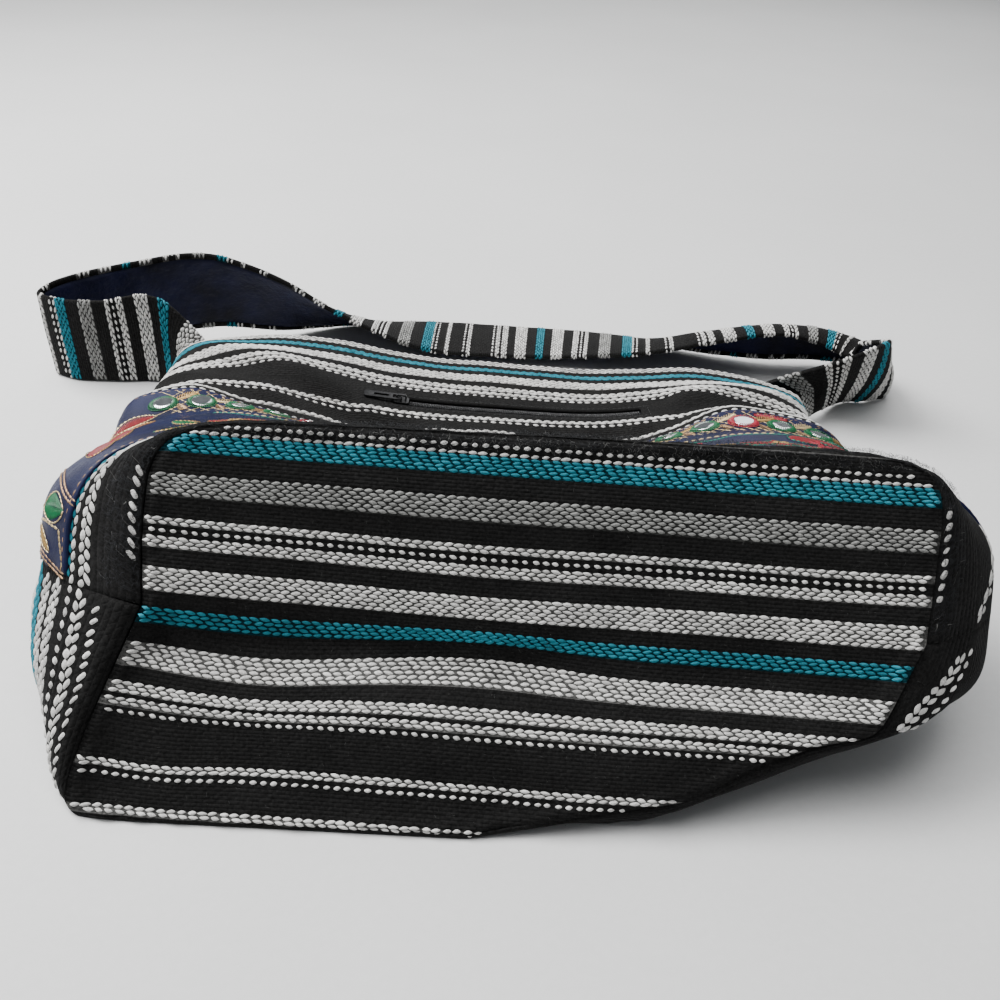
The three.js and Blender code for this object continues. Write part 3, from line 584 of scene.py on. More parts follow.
class Stitches:
    """Many short raised threads on one surface, gathered and then made as one mesh."""

    def __init__(self, surface):
        self.surface = surface
        self.rows = []

    def add(self, u, v, angle, length, width, height, colour, lift=0.0):
        u = np.atleast_1d(np.asarray(u, float))
        values = (u, v, angle, length, width, height, lift)
        values = [np.broadcast_to(np.asarray(x, float), u.shape) for x in values]
        colour = np.broadcast_to(np.asarray(colour, float), u.shape + (3,))
        self.rows.append(np.concatenate([np.stack(values, 1), colour], 1))

    def make(self, name, uneven=0.10, grain=GRAIN_YARN):
        rows = np.concatenate(self.rows)
        u, v, angle, length, width, height, lift = (rows[:, k, None, None] for k in range(7))
        a, b = np.meshgrid(*grain, indexing="ij")
        slim = 1 - GRAIN_SLIM * np.abs(a) ** GRAIN_POWER
        rise = np.sqrt(np.clip(1 - a ** 2, 0, 1)) * np.sqrt(np.clip(1 - b ** 2, 0, 1))
        place = turned(u, v, angle, a * length / 2, b * width / 2 * slim)
        points = self.surface.at(*place, lift + (rise - GRAIN_SUNK) * height)
        count, per = len(rows), a.size
        number = np.arange(per).reshape(a.shape)
        quads = strips(number[:, :-1], number[:, 1:])
        quads = (quads[None] + (np.arange(count) * per)[:, None, None]).reshape(-1, 4)
        shade = 1 + uneven * rng.standard_normal((count, 1))
        colours = np.repeat(np.clip(rows[:, 7:10] * shade, 0, 1), per, 0)
        return new_mesh_object(name, points.reshape(-1, 3), quads, colours=colours)


# Materials

class Nodes:
    """A short way to build a material's nodes."""

    def __init__(self, name):
        self.material = bpy.data.materials.new(name)
        self.material.use_nodes = True
        self.tree = self.material.node_tree

    def put(self, made, sockets):
        """Link or set sockets by name or number."""
        for key, value in sockets.items():
            if hasattr(value, "links"):
                self.tree.links.new(value, made.inputs[key])
            else:
                made.inputs[key].default_value = value

    def node(self, kind, sockets, **settings):
        made = self.tree.nodes.new("ShaderNode" + kind)
        for key, value in settings.items():
            setattr(made, key, value)
        self.put(made, sockets)
        return made

    def math(self, operation, a, b=0.0):
        return self.node("Math", {0: a, 1: b}, operation=operation).outputs[0]

    def scaled(self, value, factor, start):
        return self.math("ADD", start, self.math("MULTIPLY", value, factor))

    def wave(self, value, pitch):
        return self.math("SINE", self.math("MULTIPLY", value, TURN / pitch))

    def noise(self, vector, scale, detail=3.0, rough=0.55):
        sockets = {"Vector": vector, "Scale": scale, "Detail": detail, "Roughness": rough}
        return self.node("TexNoise", sockets).outputs["Fac"]

    def ramp(self, factor, stops, interpolation="LINEAR"):
        made = self.node("ValToRGB", {"Fac": factor})
        ramp = made.color_ramp
        ramp.interpolation = interpolation
        while len(ramp.elements) < len(stops):
            ramp.elements.new(1.0)
        for element, (place, colour) in zip(ramp.elements, stops):
            element.position = place
            element.color = (*colour, 1.0)
        return made.outputs["Color"]

    def mottled(self, tone, strength, factor, *stops):
        """The tone made darker and brighter in patches, by stops of place and brightness."""
        patches = self.ramp(factor, [(place, (grey,) * 3) for place, grey in stops])
        sockets = {0: strength, 6: tone, 7: patches}
        return self.node("Mix", sockets, data_type="RGBA", blend_type="MULTIPLY").outputs[2]

    def bump(self, height, strength, distance, **below):
        sockets = {"Height": height, "Strength": strength, "Distance": distance, **below}
        return self.node("Bump", sockets).outputs["Normal"]

    def cloth_uv(self):
        uv = self.node("UVMap", {}, uv_map="cloth").outputs["UV"]
        parts = self.node("SeparateXYZ", {0: uv})
        return parts.outputs[0], parts.outputs[1]

    def place(self):
        return self.node("TexCoord", {}).outputs["Object"]

    def finish(self, colour, roughness, normal, **constants):
        sockets = {key.replace("_", " "): value for key, value in constants.items()}
        sockets.update({"Base Color": colour, "Roughness": roughness, "Normal": normal})
        self.put(self.tree.nodes["Principled BSDF"], sockets)
        return self.material


def chart_rows(chart):
    rows = []
    for entry in chart.split():
        rows += [entry[0]] * int(entry[1:])
    return rows


CHART = chart_rows(LOOM_CHART)


def weave_material():
    """Dark ground of the striped cloth: short floats laid like bricks, over the stripes' own yarn."""
    n = Nodes("striped_cotton")
    u, row = n.cloth_uv()
    odd = n.math("MODULO", n.math("FLOOR", row), 2.0)
    step = n.scaled(odd, 0.5, n.math("DIVIDE", u, FLOAT_PITCH))
    hump_u, hump_v = (n.math("SINE", n.math("MULTIPLY", n.math("FRACT", value), math.pi))
                      for value in (step, row))
    floats = n.math("MULTIPLY", n.math("POWER", hump_u, 0.5), n.math("POWER", hump_v, 0.7))
    place = n.math("FRACT", n.math("DIVIDE", row, float(len(CHART))))
    stops, at = [], 0
    for entry in LOOM_CHART.split():
        alone = entry[0] == "K" or entry[1:] == "1"
        tone = YARNS["K"] if alone else tuple(DIMMED * c for c in YARNS[entry[0]])
        stops.append((at / len(CHART), tone))
        at += int(entry[1:])
    stripes = n.ramp(place, stops, "CONSTANT")
    spot = n.place()
    fibres = n.noise(spot, 900.0, 4.0, 0.65)
    worn = n.noise(spot, 60.0)
    tone = n.mottled(stripes, 0.75, fibres, (0.3, 0.2), (0.75, 2.6))
    tone = n.mottled(tone, 0.5, worn, (0.3, 0.6), (0.75, 1.4))
    normal = n.bump(n.scaled(fibres, 0.5, floats), 0.6, 0.0006)
    return n.finish(tone, 0.95, normal, Specular_IOR_Level=0.06, Sheen_Weight=0.03, Sheen_Roughness=0.5)


def thread_material(name, roughness, metallic, sheen, contrast, gloss):
    """Raised yarn or thread whose colour is on its points, with a fine twist."""
    n = Nodes(name)
    tint = n.node("Attribute", {}, attribute_name="yarn").outputs["Color"]
    spot = n.place()
    fibres = n.noise(spot, 1500.0, 3.0, 0.6)
    soft = n.noise(spot, 120.0, 2.0)
    tone = n.mottled(tint, 1.0, fibres, (0.3, 1 - contrast), (0.7, 1 + contrast))
    tone = n.mottled(tone, 0.6, soft, (0.3, 0.75), (0.7, 1.2))
    normal = n.bump(fibres, 0.6, 0.00035)
    return n.finish(tone, roughness, normal, Metallic=metallic, Specular_IOR_Level=gloss,
                    Sheen_Weight=sheen, Sheen_Roughness=0.5)


def satin_material():
    n = Nodes("navy_satin")
    u, v = n.cloth_uv()
    spot = n.place()
    cloud = n.noise(spot, 40.0, 4.0)
    tone = n.ramp(cloud, [(0.3, (0.004, 0.005, 0.022)), (0.7, (0.010, 0.014, 0.055))])
    relief = n.scaled(n.wave(u, 0.9), 0.25, n.math("MULTIPLY", n.wave(v, 0.45), 0.6))
    crush = n.noise(spot, 130.0, 4.0, 0.6)
    normal = n.bump(relief, 0.25, 0.0002, Normal=n.bump(crush, 0.5, 0.0012))
    return n.finish(tone, n.scaled(cloud, 0.2, 0.34), normal, Specular_IOR_Level=0.15, Sheen_Weight=0.02,
                    Sheen_Roughness=0.35, Sheen_Tint=(0.45, 0.52, 0.9, 1.0))


def lining_material():
    n = Nodes("dark_lining")
    u, v = n.cloth_uv()
    spot = n.place()
    # The lighter navy patches that this noise places in the colour are painted highlights of crushed satin;
    # the darker navy is the lining's own colour.
    cloud = n.noise(spot, 28.0, 4.0)
    tone = n.ramp(cloud, [(0.35, (0.003, 0.0034, 0.009)), (0.7, (0.011, 0.014, 0.055))])
    relief = n.math("MULTIPLY", n.wave(u, 0.6), n.wave(v, 0.5))
    crush = n.noise(spot, 70.0, 4.0, 0.6)
    normal = n.bump(relief, 0.25, 0.0002, Normal=n.bump(crush, 0.9, 0.004))
    return n.finish(tone, n.scaled(crush, 0.2, 0.45), normal, Specular_IOR_Level=0.25, Sheen_Weight=0.12,
                    Sheen_Roughness=0.4, Sheen_Tint=(0.4, 0.45, 0.8, 1.0))


def tape_material():
    n = Nodes("zip_cloth")
    twill = n.wave(n.math("ADD", *n.cloth_uv()), 0.7)
    fibres = n.noise(n.place(), 900.0)
    tone = n.ramp(n.scaled(twill, 0.2, fibres),
                  [(0.2, (0.006, 0.006, 0.007)), (0.9, (0.022, 0.022, 0.024))])
    return n.finish(tone, 0.9, n.bump(twill, 0.5, 0.0002), Specular_IOR_Level=0.1)


def lacquer_material():
    n = Nodes("zip_metal")
    spot = n.place()
    scratches = n.noise(spot, 700.0, 4.0, 0.7)
    cloud = n.noise(spot, 160.0)
    tone = n.ramp(scratches, [(0.35, (0.012, 0.012, 0.013)), (0.72, (0.035, 0.035, 0.037)),
                              (0.8, (0.16, 0.16, 0.16))])
    return n.finish(tone, n.scaled(cloud, 0.25, 0.26), n.bump(cloud, 0.15, 0.0002), Metallic=0.75,
                    Coat_Weight=0.3, Coat_Roughness=0.2)


def mirror_material():
    n = Nodes("mirror_glass")
    cloud = n.noise(n.place(), 300.0)
    tone = n.ramp(cloud, [(0.3, (0.72, 0.75, 0.77)), (0.7, (0.88, 0.9, 0.92))])
    return n.finish(tone, n.scaled(cloud, 0.10, 0.04), n.bump(cloud, 0.12, 0.0004), Metallic=1.0)


def floor_material():
    n = Nodes("pale_floor")
    spot = n.place()
    grain = n.noise(spot, 260.0, 4.0, 0.6)
    cloud = n.noise(spot, 3.0)
    tone = n.ramp(n.scaled(cloud, 0.65, n.math("MULTIPLY", grain, 0.35)),
                  [(0.3, (0.70, 0.70, 0.695)), (0.7, (0.78, 0.78, 0.775))])
    return n.finish(tone, 0.6, n.bump(grain, 0.12, 0.0006))


WEAVE = weave_material()
YARN = thread_material("raised_yarn", 0.9, 0.0, 0.08, 0.28, 0.12)
SATIN = satin_material()
SILK = thread_material("silk_thread", 0.40, 0.0, 0.02, 0.22, 0.3)
ZARI = thread_material("metal_thread", 0.34, 0.65, 0.0, 0.25, 0.5)
NYLON = thread_material("zip_nylon", 0.22, 0.0, 0.0, 0.12, 0.6)
LINING = lining_material()
TAPE = tape_material()
LACQUER = lacquer_material()
GLASS = mirror_material()


def dress(piece, material, body="bag", nodes=()):
    piece.data.materials.clear()
    piece.data.materials.append(material)
    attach(piece, body)
    if nodes:
        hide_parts(*nodes)
    return piece


# Where the loom's rows lie on each panel

def dark_rows(v):
    """Rows of plain dark ground, there and back, under light rows that are laid on their own."""
    return DARK_ROW + np.abs(np.mod(v / ROW_PITCH, 2 * DARK_SPAN) - DARK_SPAN)


def plain_row(v):
    return v / ROW_PITCH


def front_row(v):
    above = FRONT_ROW + (FRONT_ROW_AT - v) / ROW_PITCH
    upper = np.where(v > ZIP_HEIGHT, above, above - ZIP_SLOT / ROW_PITCH)
    return np.where(v < FRONT_LOW_TO, dark_rows(v), upper)


def bottom_row(v):
    return (v - BOTTOM_FIRST) / BOTTOM_PITCH + len(CHART)


def back_row(v):
    return np.where(v < BACK_LOW_TO, dark_rows(v), BACK_ROW - v / ROW_PITCH)


def strap_row(v):
    return STRAP_ROW - (v - STRAP_ROW_AT) / STRAP_PITCH + STRAP_REPEATS * len(CHART)


def float_rows(row_of, low, high, pitch, chart):
    """Middle heights and colours of the light rows of yarn between two heights."""
    fine = np.arange(low, high, pitch / 12.0)
    number = np.floor(row_of(fine)).astype(int)
    found = []
    for k in np.unique(number):
        before, letter, after = (chart[(k + step) % len(chart)] for step in (-1, 0, 1))
        heights = fine[number == k]
        if letter != "K" and np.ptp(heights) > 0.6 * pitch:
            found.append((heights.mean(), k, letter, before == "K" and after == "K"))
    return found


def lay_floats(stitches, row_of, low, high, pitch, ends, skip, place=None, chart=CHART, step=FLOAT_PITCH):
    """Short floats of yarn along each light row, half a step on in every other row."""
    for v, number, letter, alone in float_rows(row_of, low, high, pitch, chart):
        left, right = ends(v)
        start = left + FLOAT_INSET + (step / 2 if number % 2 else 0.0)
        u = np.arange(start, right - FLOAT_INSET, step)
        u = u + rng.normal(0, VARY_U, len(u))
        vs = v + rng.normal(0, VARY_V, len(u))
        turn = np.zeros(len(u))
        if place is not None:
            turn = np.arctan(place(u + 0.5, vs) - place(u - 0.5, vs))
            vs = place(u, vs)
        keep = ~skip(u, vs)
        if not keep.any():
            continue
        count = int(keep.sum())
        length = (FLOAT_ALONE if alone else FLOAT_LENGTH) * step / FLOAT_PITCH
        length = length * (1 + rng.normal(0, VARY_LENGTH, count))
        width = FLOAT_WIDTH * pitch / ROW_PITCH * (1 + rng.normal(0, VARY_WIDTH, count))
        height = FLOAT_HEIGHT * (1 + rng.normal(0, VARY_HEIGHT, count))
        slant = FLOAT_SLANT * (1 if number % 2 else -1)
        angle = turn[keep] + rng.normal(slant, VARY_ANGLE, count)
        stitches.add(u[keep], vs[keep], angle, length, width, height, YARNS[letter], FLOAT_LIFT)


# Bottom panel

SPOKES, RINGS = 300, 48
RIM_CLEAR, PAST_LOW = 0.988, 4.0


def make_bottom():
    turn = np.linspace(0, len(bottom.rim), SPOKES, endpoint=False)
    rim = np.stack([np.interp(turn, np.arange(len(bottom.ring)), line) for line in bottom.ring.T], 1)
    share = np.linspace(0.0, 1.0, RINGS + 1)[1:]
    flat = bottom.middle + (rim[None] - bottom.middle) * share[:, None, None]
    flat = np.concatenate([bottom.middle[None], flat.reshape(-1, 2)])
    points = [bottom.at(flat[:, 0], flat[:, 1], height) for height in (0.0, -CLOTH)]
    layer = len(flat)
    number = 1 + np.arange(RINGS * SPOKES).reshape(RINGS, SPOKES)
    after = np.roll(number, -1, axis=1)
    rings = strips(number, after)[:, ::-1]
    fans = np.stack([np.zeros(SPOKES, int), after[0], number[0]], 1)
    rim_quads = np.stack([number[-1], number[-1] + layer, after[-1] + layer, after[-1]], 1)
    triangles = []
    for quads in (rings, rings[:, ::-1] + layer, rim_quads):
        triangles += [quads[:, [0, 1, 2]], quads[:, [0, 2, 3]]]
    triangles += [fans, fans[:, [0, 2, 1]] + layer]
    cloth_v = flat[:, 1].copy()
    for _ in range(3):
        cloth_v = flat[:, 1] + (cloth_v - bottom.pulled(flat[:, 0], cloth_v))
    uv = np.stack([flat[:, 0], bottom_row(cloth_v)], 1)
    piece = new_mesh_object("bottom_cloth", np.concatenate(points), np.concatenate(triangles),
                            np.concatenate([uv, uv]))
    dress(piece, WEAVE, nodes=["bottom_panel"])
    stitches = Stitches(bottom)
    lay_floats(stitches, bottom_row, 0.0, BOTTOM_TALL + PAST_LOW, BOTTOM_PITCH, bottom.ends_at,
               lambda u, v: bottom.edge_share(u, v)[0] > RIM_CLEAR, bottom.pulled, step=BOTTOM_STEP)
    floats = dress(stitches.make("bottom_floats"), YARN)


# Front and back: the hem's depth and extra thickness, its roll and groove, and the rounded mouth
HEM, HEM_EXTRA, HEM_EASE, HEM_RISE = 16.0, 1.1, 3.0, 0.3
HEM_STITCH, HEM_GROOVE, HEM_GROOVE_WIDTH = 2.0, 0.45, 1.2
MOUTH_ROUND, MOUTH_THIN = 2.2, 0.9
PANEL_START, MOUTH_CLEAR = 0.6, 1.6


def spaced(low, high, count, extra):
    """Even lines with some extra ones, without the even lines that are too close to another."""
    lines = np.unique(np.concatenate([np.linspace(low, high, count), extra]))
    gaps = np.diff(lines, prepend=-np.inf)
    special = np.isin(lines, extra)
    close = np.minimum(gaps, np.diff(lines, append=np.inf)) < (high - low) / count * 0.35
    return lines[special | ~close]


def make_panel(name, panel, row_of, columns, rows, zip_slot, node):
    ends, sills = [], []
    if zip_slot:
        length = panel.length_at(ZIP_HEIGHT)
        ends = [0.5 + (ZIP_SHIFT + side * ZIP_LENGTH / 2) / length for side in (-1, 1)]
        sills = [ZIP_HEIGHT - ZIP_SLOT / 2, ZIP_HEIGHT + ZIP_SLOT / 2]
    runs = spaced(0.0, 1.0, columns, ends)
    heights = spaced(PANEL_START, PANEL_HEIGHT, rows, sills)
    keep = None
    if zip_slot:
        in_run, in_height = ((lines[1:] + lines[:-1]) / 2 for lines in (runs, heights))
        in_run = (in_run > ends[0]) & (in_run < ends[1])
        in_height = (in_height > sills[0]) & (in_height < sills[1])
        keep = ~(in_height[:, None] & in_run[None, :])
    run, v = np.meshgrid(runs, heights)
    hem_from = v - PANEL_HEIGHT + HEM
    hem = smooth(hem_from / HEM_EASE)
    groove = HEM_GROOVE * bell(hem_from - HEM_STITCH, HEM_GROOVE_WIDTH)
    thin = MOUTH_THIN * smooth((v - PANEL_HEIGHT + MOUTH_ROUND) / MOUTH_ROUND)
    outer = panel.at_run(run, v, HEM_RISE * hem - groove - thin)
    inner = panel.at_run(run, v, -CLOTH - HEM_EXTRA * hem + thin)
    inner[..., 2] = np.maximum(inner[..., 2], LEAST_INNER_Z)
    uv = np.stack([(run - 0.5) * panel.length_at(v), row_of(v)], -1)
    faces = (outer, inner) if panel.sign > 0 else (inner, outer)
    return dress(wall(name, *faces, uv, keep), WEAVE, nodes=[node])


def side_slip(u):
    """How far the band's lower edge slips from the seam: nearer at the left side, farther at the right."""
    right, left = (smooth((side - SIDE_FROM) / SIDE_EASE) for side in (u, -u))
    return SLIP_RIGHT * right - SLIP_LEFT * left


# Light rows at the right side, which climb from the side seam, and how rows of the back slip at its sides
RIGHT_ROW_FROM, RIGHT_ROW_END, RIGHT_ROW_RISE = 200.0, 240.0, 0.75
BACK_SLIP_FROM, BACK_SLIP_EASE, BACK_SLIP_LEFT, BACK_SLIP_RIGHT = 195.0, 50.0, 3.0, 9.0
# How far floats run under the band's lower and upper edge, and keep from the zip's ends and sides
UNDER_LOW, UNDER_HIGH, ZIP_END_CLEAR, ZIP_SIDE_CLEAR = 1.5, 1.0, 3.0, 1.5
SIDE_NEAR, RIGHT_BARE, FLOOR_CLEAR = 0.3, 12.0, 2.0


def make_front():
    piece = make_panel("front_cloth", front, front_row, 176, 122, True, "front_panel")

    def hidden(u, v):
        under_band = (v > BAND_FROM + side_slip(u) + UNDER_LOW) & (v < BAND_TO - UNDER_HIGH)
        at_zip = ((np.abs(u - ZIP_SHIFT) < ZIP_LENGTH / 2 + ZIP_END_CLEAR)
                  & (np.abs(v - ZIP_HEIGHT) < ZIP_SLOT / 2 + ZIP_SIDE_CLEAR))
        from_side = front.length_at(v) / 2 - np.abs(u)
        off_side = (from_side > SIDE_DEPTH) | (from_side < SIDE_NEAR * SIDE_DEPTH)
        right_side = (u > SIDE_FROM + RIGHT_BARE) & (v > SEAM_ROW_TO) & (v < BAND_TO)
        by_seam = (v < SEAM_ROW_TO) & off_side
        return under_band | at_zip | by_seam | right_side | (v > PANEL_HEIGHT - MOUTH_CLEAR)

    def off_right(u, v):
        return (u < RIGHT_ROW_FROM) | (v > BAND_FROM + side_slip(u))

    def climbing(u, v):
        return v + RIGHT_ROW_RISE * np.maximum(RIGHT_ROW_END - u, 0.0)

    stitches = Stitches(front)
    lay_floats(stitches, front_row, BAND_TO - 2.0, PANEL_HEIGHT, ROW_PITCH, front.ends_at, hidden)
    lay_floats(stitches, plain_row, 0.0, BAND_FROM + 1.0, ROW_PITCH, front.ends_at, hidden,
               chart=chart_rows(FRONT_LOW_CHART))
    lay_floats(stitches, plain_row, 0.0, BAND_FROM, ROW_PITCH, front.ends_at, off_right, climbing,
               chart_rows(FRONT_RIGHT_CHART))
    floats = dress(stitches.make("front_floats"), YARN)


def make_back():
    piece = make_panel("back_cloth", back, back_row, 150, 84, False, "back_panel")
    stitches = Stitches(back)

    def resting(u, v):
        return (back.at(u, v)[..., 2] < FLOOR_CLEAR) | (v > PANEL_HEIGHT - MOUTH_CLEAR)

    def slipped(u, v):
        most = np.where(u > 0, BACK_SLIP_RIGHT, BACK_SLIP_LEFT)
        return v + most * smooth((np.abs(u) - BACK_SLIP_FROM) / BACK_SLIP_EASE)

    for side, chart in ((-1, BACK_LEFT_CHART), (1, BACK_RIGHT_CHART)):
        lay_floats(stitches, plain_row, 0.0, BACK_LOW_TO, ROW_PITCH, back.ends_at,
                   lambda u, v: resting(u, v) | (u * side < 0) | ((u > 0) & (u < BACK_SLIP_FROM)), slipped,
                   chart_rows(chart))
    lay_floats(stitches, back_row, BACK_LOW_TO, PANEL_HEIGHT, ROW_PITCH, back.ends_at, resting)
    floats = dress(stitches.make("back_floats"), YARN)


# Strap: its turned edge from the face round to the hem, as offset from the half width and depth
STRAP_HEM = [
    (-0.1, -0.5), (0.25, -1.5), (-0.1, -2.6), (-0.8, -3.0), (-2.2, -3.05), (-3.4, -2.9), (-3.9, -2.0),
]
FACE_INSET, INSIDE_INSET, INSIDE_DEPTH = 0.8, 5.0, -1.7
STRAP_ROWS_BUILT, STRAP_FLOAT_FROM, STRAP_BURIED, STRAP_LOW = 450, 18.0, 20.0, 1.2
LINING_INSET, LINING_OVER, LINING_OUTER, LINING_INNER = 3.8, 4, -1.95, -2.75


def make_strap():
    half = STRAP_WIDTH / 2
    face = [(w, 0.0) for w in np.linspace(-half + FACE_INSET, half - FACE_INSET, 31)]
    hem = [(half + w, depth) for w, depth in STRAP_HEM]
    other_hem = [(-w, depth) for w, depth in hem[::-1]]
    inside = [(w, INSIDE_DEPTH) for w in np.linspace(half - INSIDE_INSET, -half + INSIDE_INSET, 13)]
    wrapped = Wrapped(np.array(other_hem + face + hem))
    profile = np.array(face + hem + inside + other_hem)
    steps = np.linspace(0, strap.length, STRAP_ROWS_BUILT)
    v, w = np.meshgrid(steps, profile[:, 0], indexing="ij")
    points = strap.at(w, v, np.broadcast_to(profile[:, 1], v.shape))
    uv = np.stack([np.broadcast_to(run_along(profile) - half, v.shape), strap_row(v)], -1)
    rows, columns = v.shape
    number = np.arange(rows * columns).reshape(rows, columns)
    quads = strips(number, np.roll(number, -1, axis=1))
    ends = []
    for row, flip in ((0, False), (rows - 1, True)):
        for k in range(columns // 2 - 1):
            quad = [number[row, j] for j in (k, k + 1, columns - 2 - k, columns - 1 - k)]
            ends.append(quad[::-1] if flip else quad)
    piece = new_mesh_object("strap_cloth", points.reshape(-1, 3), np.concatenate([quads, np.array(ends)]),
                            uv.reshape(-1, 2))
    dress(piece, WEAVE, nodes=["strap"])
    stitches = Stitches(wrapped)
    wrap_end = wrapped.around[-1] - 0.6

    def buried(u, v):
        low = wrapped.at(u, v)[..., 2] < STRAP_LOW
        return low | (v < STRAP_BURIED) | (v > strap.length - STRAP_BURIED)

    lay_floats(stitches, strap_row, STRAP_FLOAT_FROM, strap.length - STRAP_FLOAT_FROM, STRAP_PITCH,
               lambda v: (-wrap_end, wrap_end), buried)
    floats = dress(stitches.make("strap_floats"), YARN)
    reach = half - LINING_INSET
    first, last = strap.places[LINING_SKIPS], strap.places[-1 - LINING_SKIPS]
    v, w = np.meshgrid(np.linspace(first - LINING_OVER, last + LINING_OVER, 360),
                       np.linspace(-reach, reach, 15), indexing="ij")
    outer = strap.at(w, v, LINING_OUTER + 0 * v)
    inner = strap.at(w, v, LINING_INNER + waves(LINING_WAVES, w, v))
    lining = wall("strap_lining_cloth", inner, outer, np.stack([w, v], -1))
    dress(lining, LINING, nodes=["strap_lining"])


# Embroidered band

def leaf_half(share, width):
    return width / 2 * np.sin(np.pi * share ** 0.85) ** 0.8


def leaf_fill(stitches, u, v, angle, length, width, colour, lift, fishbone=True, step=0.75):
    """A leaf or petal of close stitches, slanted on both sides of its middle or straight across."""
    along = np.arange(-length / 2 + 0.6, length / 2 - 0.3, step)
    half = leaf_half((along + length / 2) / length, width) + 0.15
    if fishbone:
        slant = math.radians(52)
        reach = half / math.sin(slant)
        for side in (-1, 1):
            place = turned(u, v, angle, along + reach * math.cos(slant) / 2, side * half / 2)
            stitches.add(*place, angle + side * slant, reach + 0.5, 0.85, 0.5, colour, lift)
    else:
        stitches.add(*turned(u, v, angle, along), angle + math.pi / 2, 2 * half + 0.3, 0.9, 0.6, colour, lift)


def line_of_stitches(stitches, us, vs, colour, length, width, lift, gap=0.0, height=0.5):
    """Short stitches end to end along a line of points."""
    run = run_along(np.stack([us, vs], 1))
    middles = np.arange(length / 2, run[-1], length + gap)
    if len(middles) == 0:
        return
    before, here, after = ((np.interp(middles + step, run, us), np.interp(middles + step, run, vs))
                           for step in (-0.1, 0.0, 0.1))
    angle = np.arctan2(after[1] - before[1], after[0] - before[0])
    stitches.add(*here, angle, length * 1.12, width, height, colour, lift)


def leaf_outline(stitches, u, v, angle, length, width, colour, lift):
    share = np.linspace(0, 1, 24)
    half = leaf_half(share, width) + 0.35
    for side in (-1, 1):
        line = turned(u, v, angle, (share - 0.5) * length, side * half)
        line_of_stitches(stitches, *line, colour, 2.2, 0.7, lift)


def ring_of_stitches(stitches, u, v, radius, count, lean, length, width, height, colour, lift):
    turn = np.arange(count) / count * TURN
    stitches.add(*turned(u, v, turn, radius), turn + lean, length, width, height, colour, lift)


# Below this height the band's two ends, beyond this reach, are plain satin with a leaf or a flower
PLAIN_BELOW, PLAIN_FROM = 140.0, 150.0
FISHBONE_AHEAD = 1.6
PINK_DEPTH, PINK_PITCH = 2.2, 6.2
EDGE_ROLL, EDGE_PLACE, EDGE_WIDTH = 0.35, 1.5, 2.0
BAND_TOP = BAND_LIFT + BAND_THICK + 0.15

# Lines across the band: height, wave's height, pitch and phase, colour, then stitch length, width and gap
BAND_LINES = [
    (BAND_TO - 2.2, 0.0, 60.0, 0.0, "tan", 3.0, 0.8, 1.0),
    (136.0, 0.0, 60.0, 0.0, "cream", 3.0, 0.8, 1.0),
    (46.0, 0.0, 60.0, 0.0, "cream", 3.0, 0.8, 1.0),
    (BAND_FROM + 2.2, 0.0, 60.0, 0.0, "tan", 3.0, 0.8, 1.0),
    (129.0, 3.0, 40.0, 0.0, "mint", 2.6, 1.3, 0.0),
    (54.0, 2.5, 36.0, 1.0, "green", 2.6, 1.2, 0.0),
]

# Crossed metal threads: from and to in height, and their reach to each side
LATTICE_PITCH = 7.5
LATTICES = [(MIRROR_HEIGHT - 14, MIRROR_HEIGHT + 14, 184.0), (31.0, 43.0, PLAIN_FROM)]

# Flowers along the middle: their places, petals and the leaves beside them, as reach, rise, turn and length
FLOWERS, FLOWER_PITCH, FLOWER_HEIGHT, FLOWER_SWAY = 5, 66.0, 92.0, 4.0
PETALS, PETAL_REACH, PETAL_TURN, PETAL_LENGTH, PETAL_WIDTH = 6, 11.5, 0.3, 17.0, 9.5
FLOWER_LEAVES = [(26.0, 13.0, 0.75, 19.0), (29.0, -14.0, -0.65, 17.0)]
STEM_SWAY = 18
BUD_PETALS, BUD_HEIGHT, BUD_REACH, BUD_TURN, BUD_LENGTH, BUD_WIDTH = 5, 116.0, 4.2, 0.4, 7.0, 4.2

# Leaves and petals at the band's ends: middle, turn, length, width, colour and colour of the outline
END_LEAVES = [
    (-194.0, 144.0, 0.25, 24.0, 17.0, "red", "cream"),
    (-190.0, 128.0, 0.35, 22.0, 14.0, "red", "gold"),
    (-191.0, 104.0, 1.5, 26.0, 12.0, "red", "gold"),
    (-190.0, 62.0, 1.5, 46.0, 11.0, "red", "gold"),
    (-216.0, 29.0, 2.0, 17.0, 10.0, "green", "cream"),
    (-231.0, 34.0, 1.2, 14.0, 4.0, "gold", "cream"),
    (156.0, 173.0, 0.0, 18.0, 5.0, "rose", "red"),
    (158.0, 121.0, 0.55, 22.0, 12.0, "red", "mint"),
    (177.0, 129.0, 0.2, 23.0, 14.0, "red", "mint"),
    (191.0, 150.0, 2.2, 20.0, 8.0, "green", "mint"),
    (206.0, 60.0, 1.2, 24.0, 11.0, "red", "gold"),
]

# Stitched lines at the left end: from, to and colour
END_LINES = [
    (-206.0, 17.0, -207.0, 75.0, "tan"), (-208.0, 17.0, -209.0, 75.0, "tan"),
    (-228.0, 46.0, -221.0, 22.0, "cream"), (-221.0, 22.0, -234.0, 19.0, "cream"),
    (-239.0, 18.0, -239.0, 46.0, "tan"), (-237.0, 18.0, -237.0, 46.0, "tan"),
]


def band_line(height, wave, pitch, phase):
    """A line across the band, short of its plain ends or along its slipped lower edge."""
    at_edge = abs(height - BAND_FROM) < 5
    whole = at_edge or height > PLAIN_BELOW
    us = np.linspace(-1, 1, 400) * (front.ends_at(height)[1] - 5 if whole else PLAIN_FROM)
    vs = height + wave * np.sin(TURN * us / pitch + phase)
    return us, (vs + side_slip(us) if at_edge else vs)


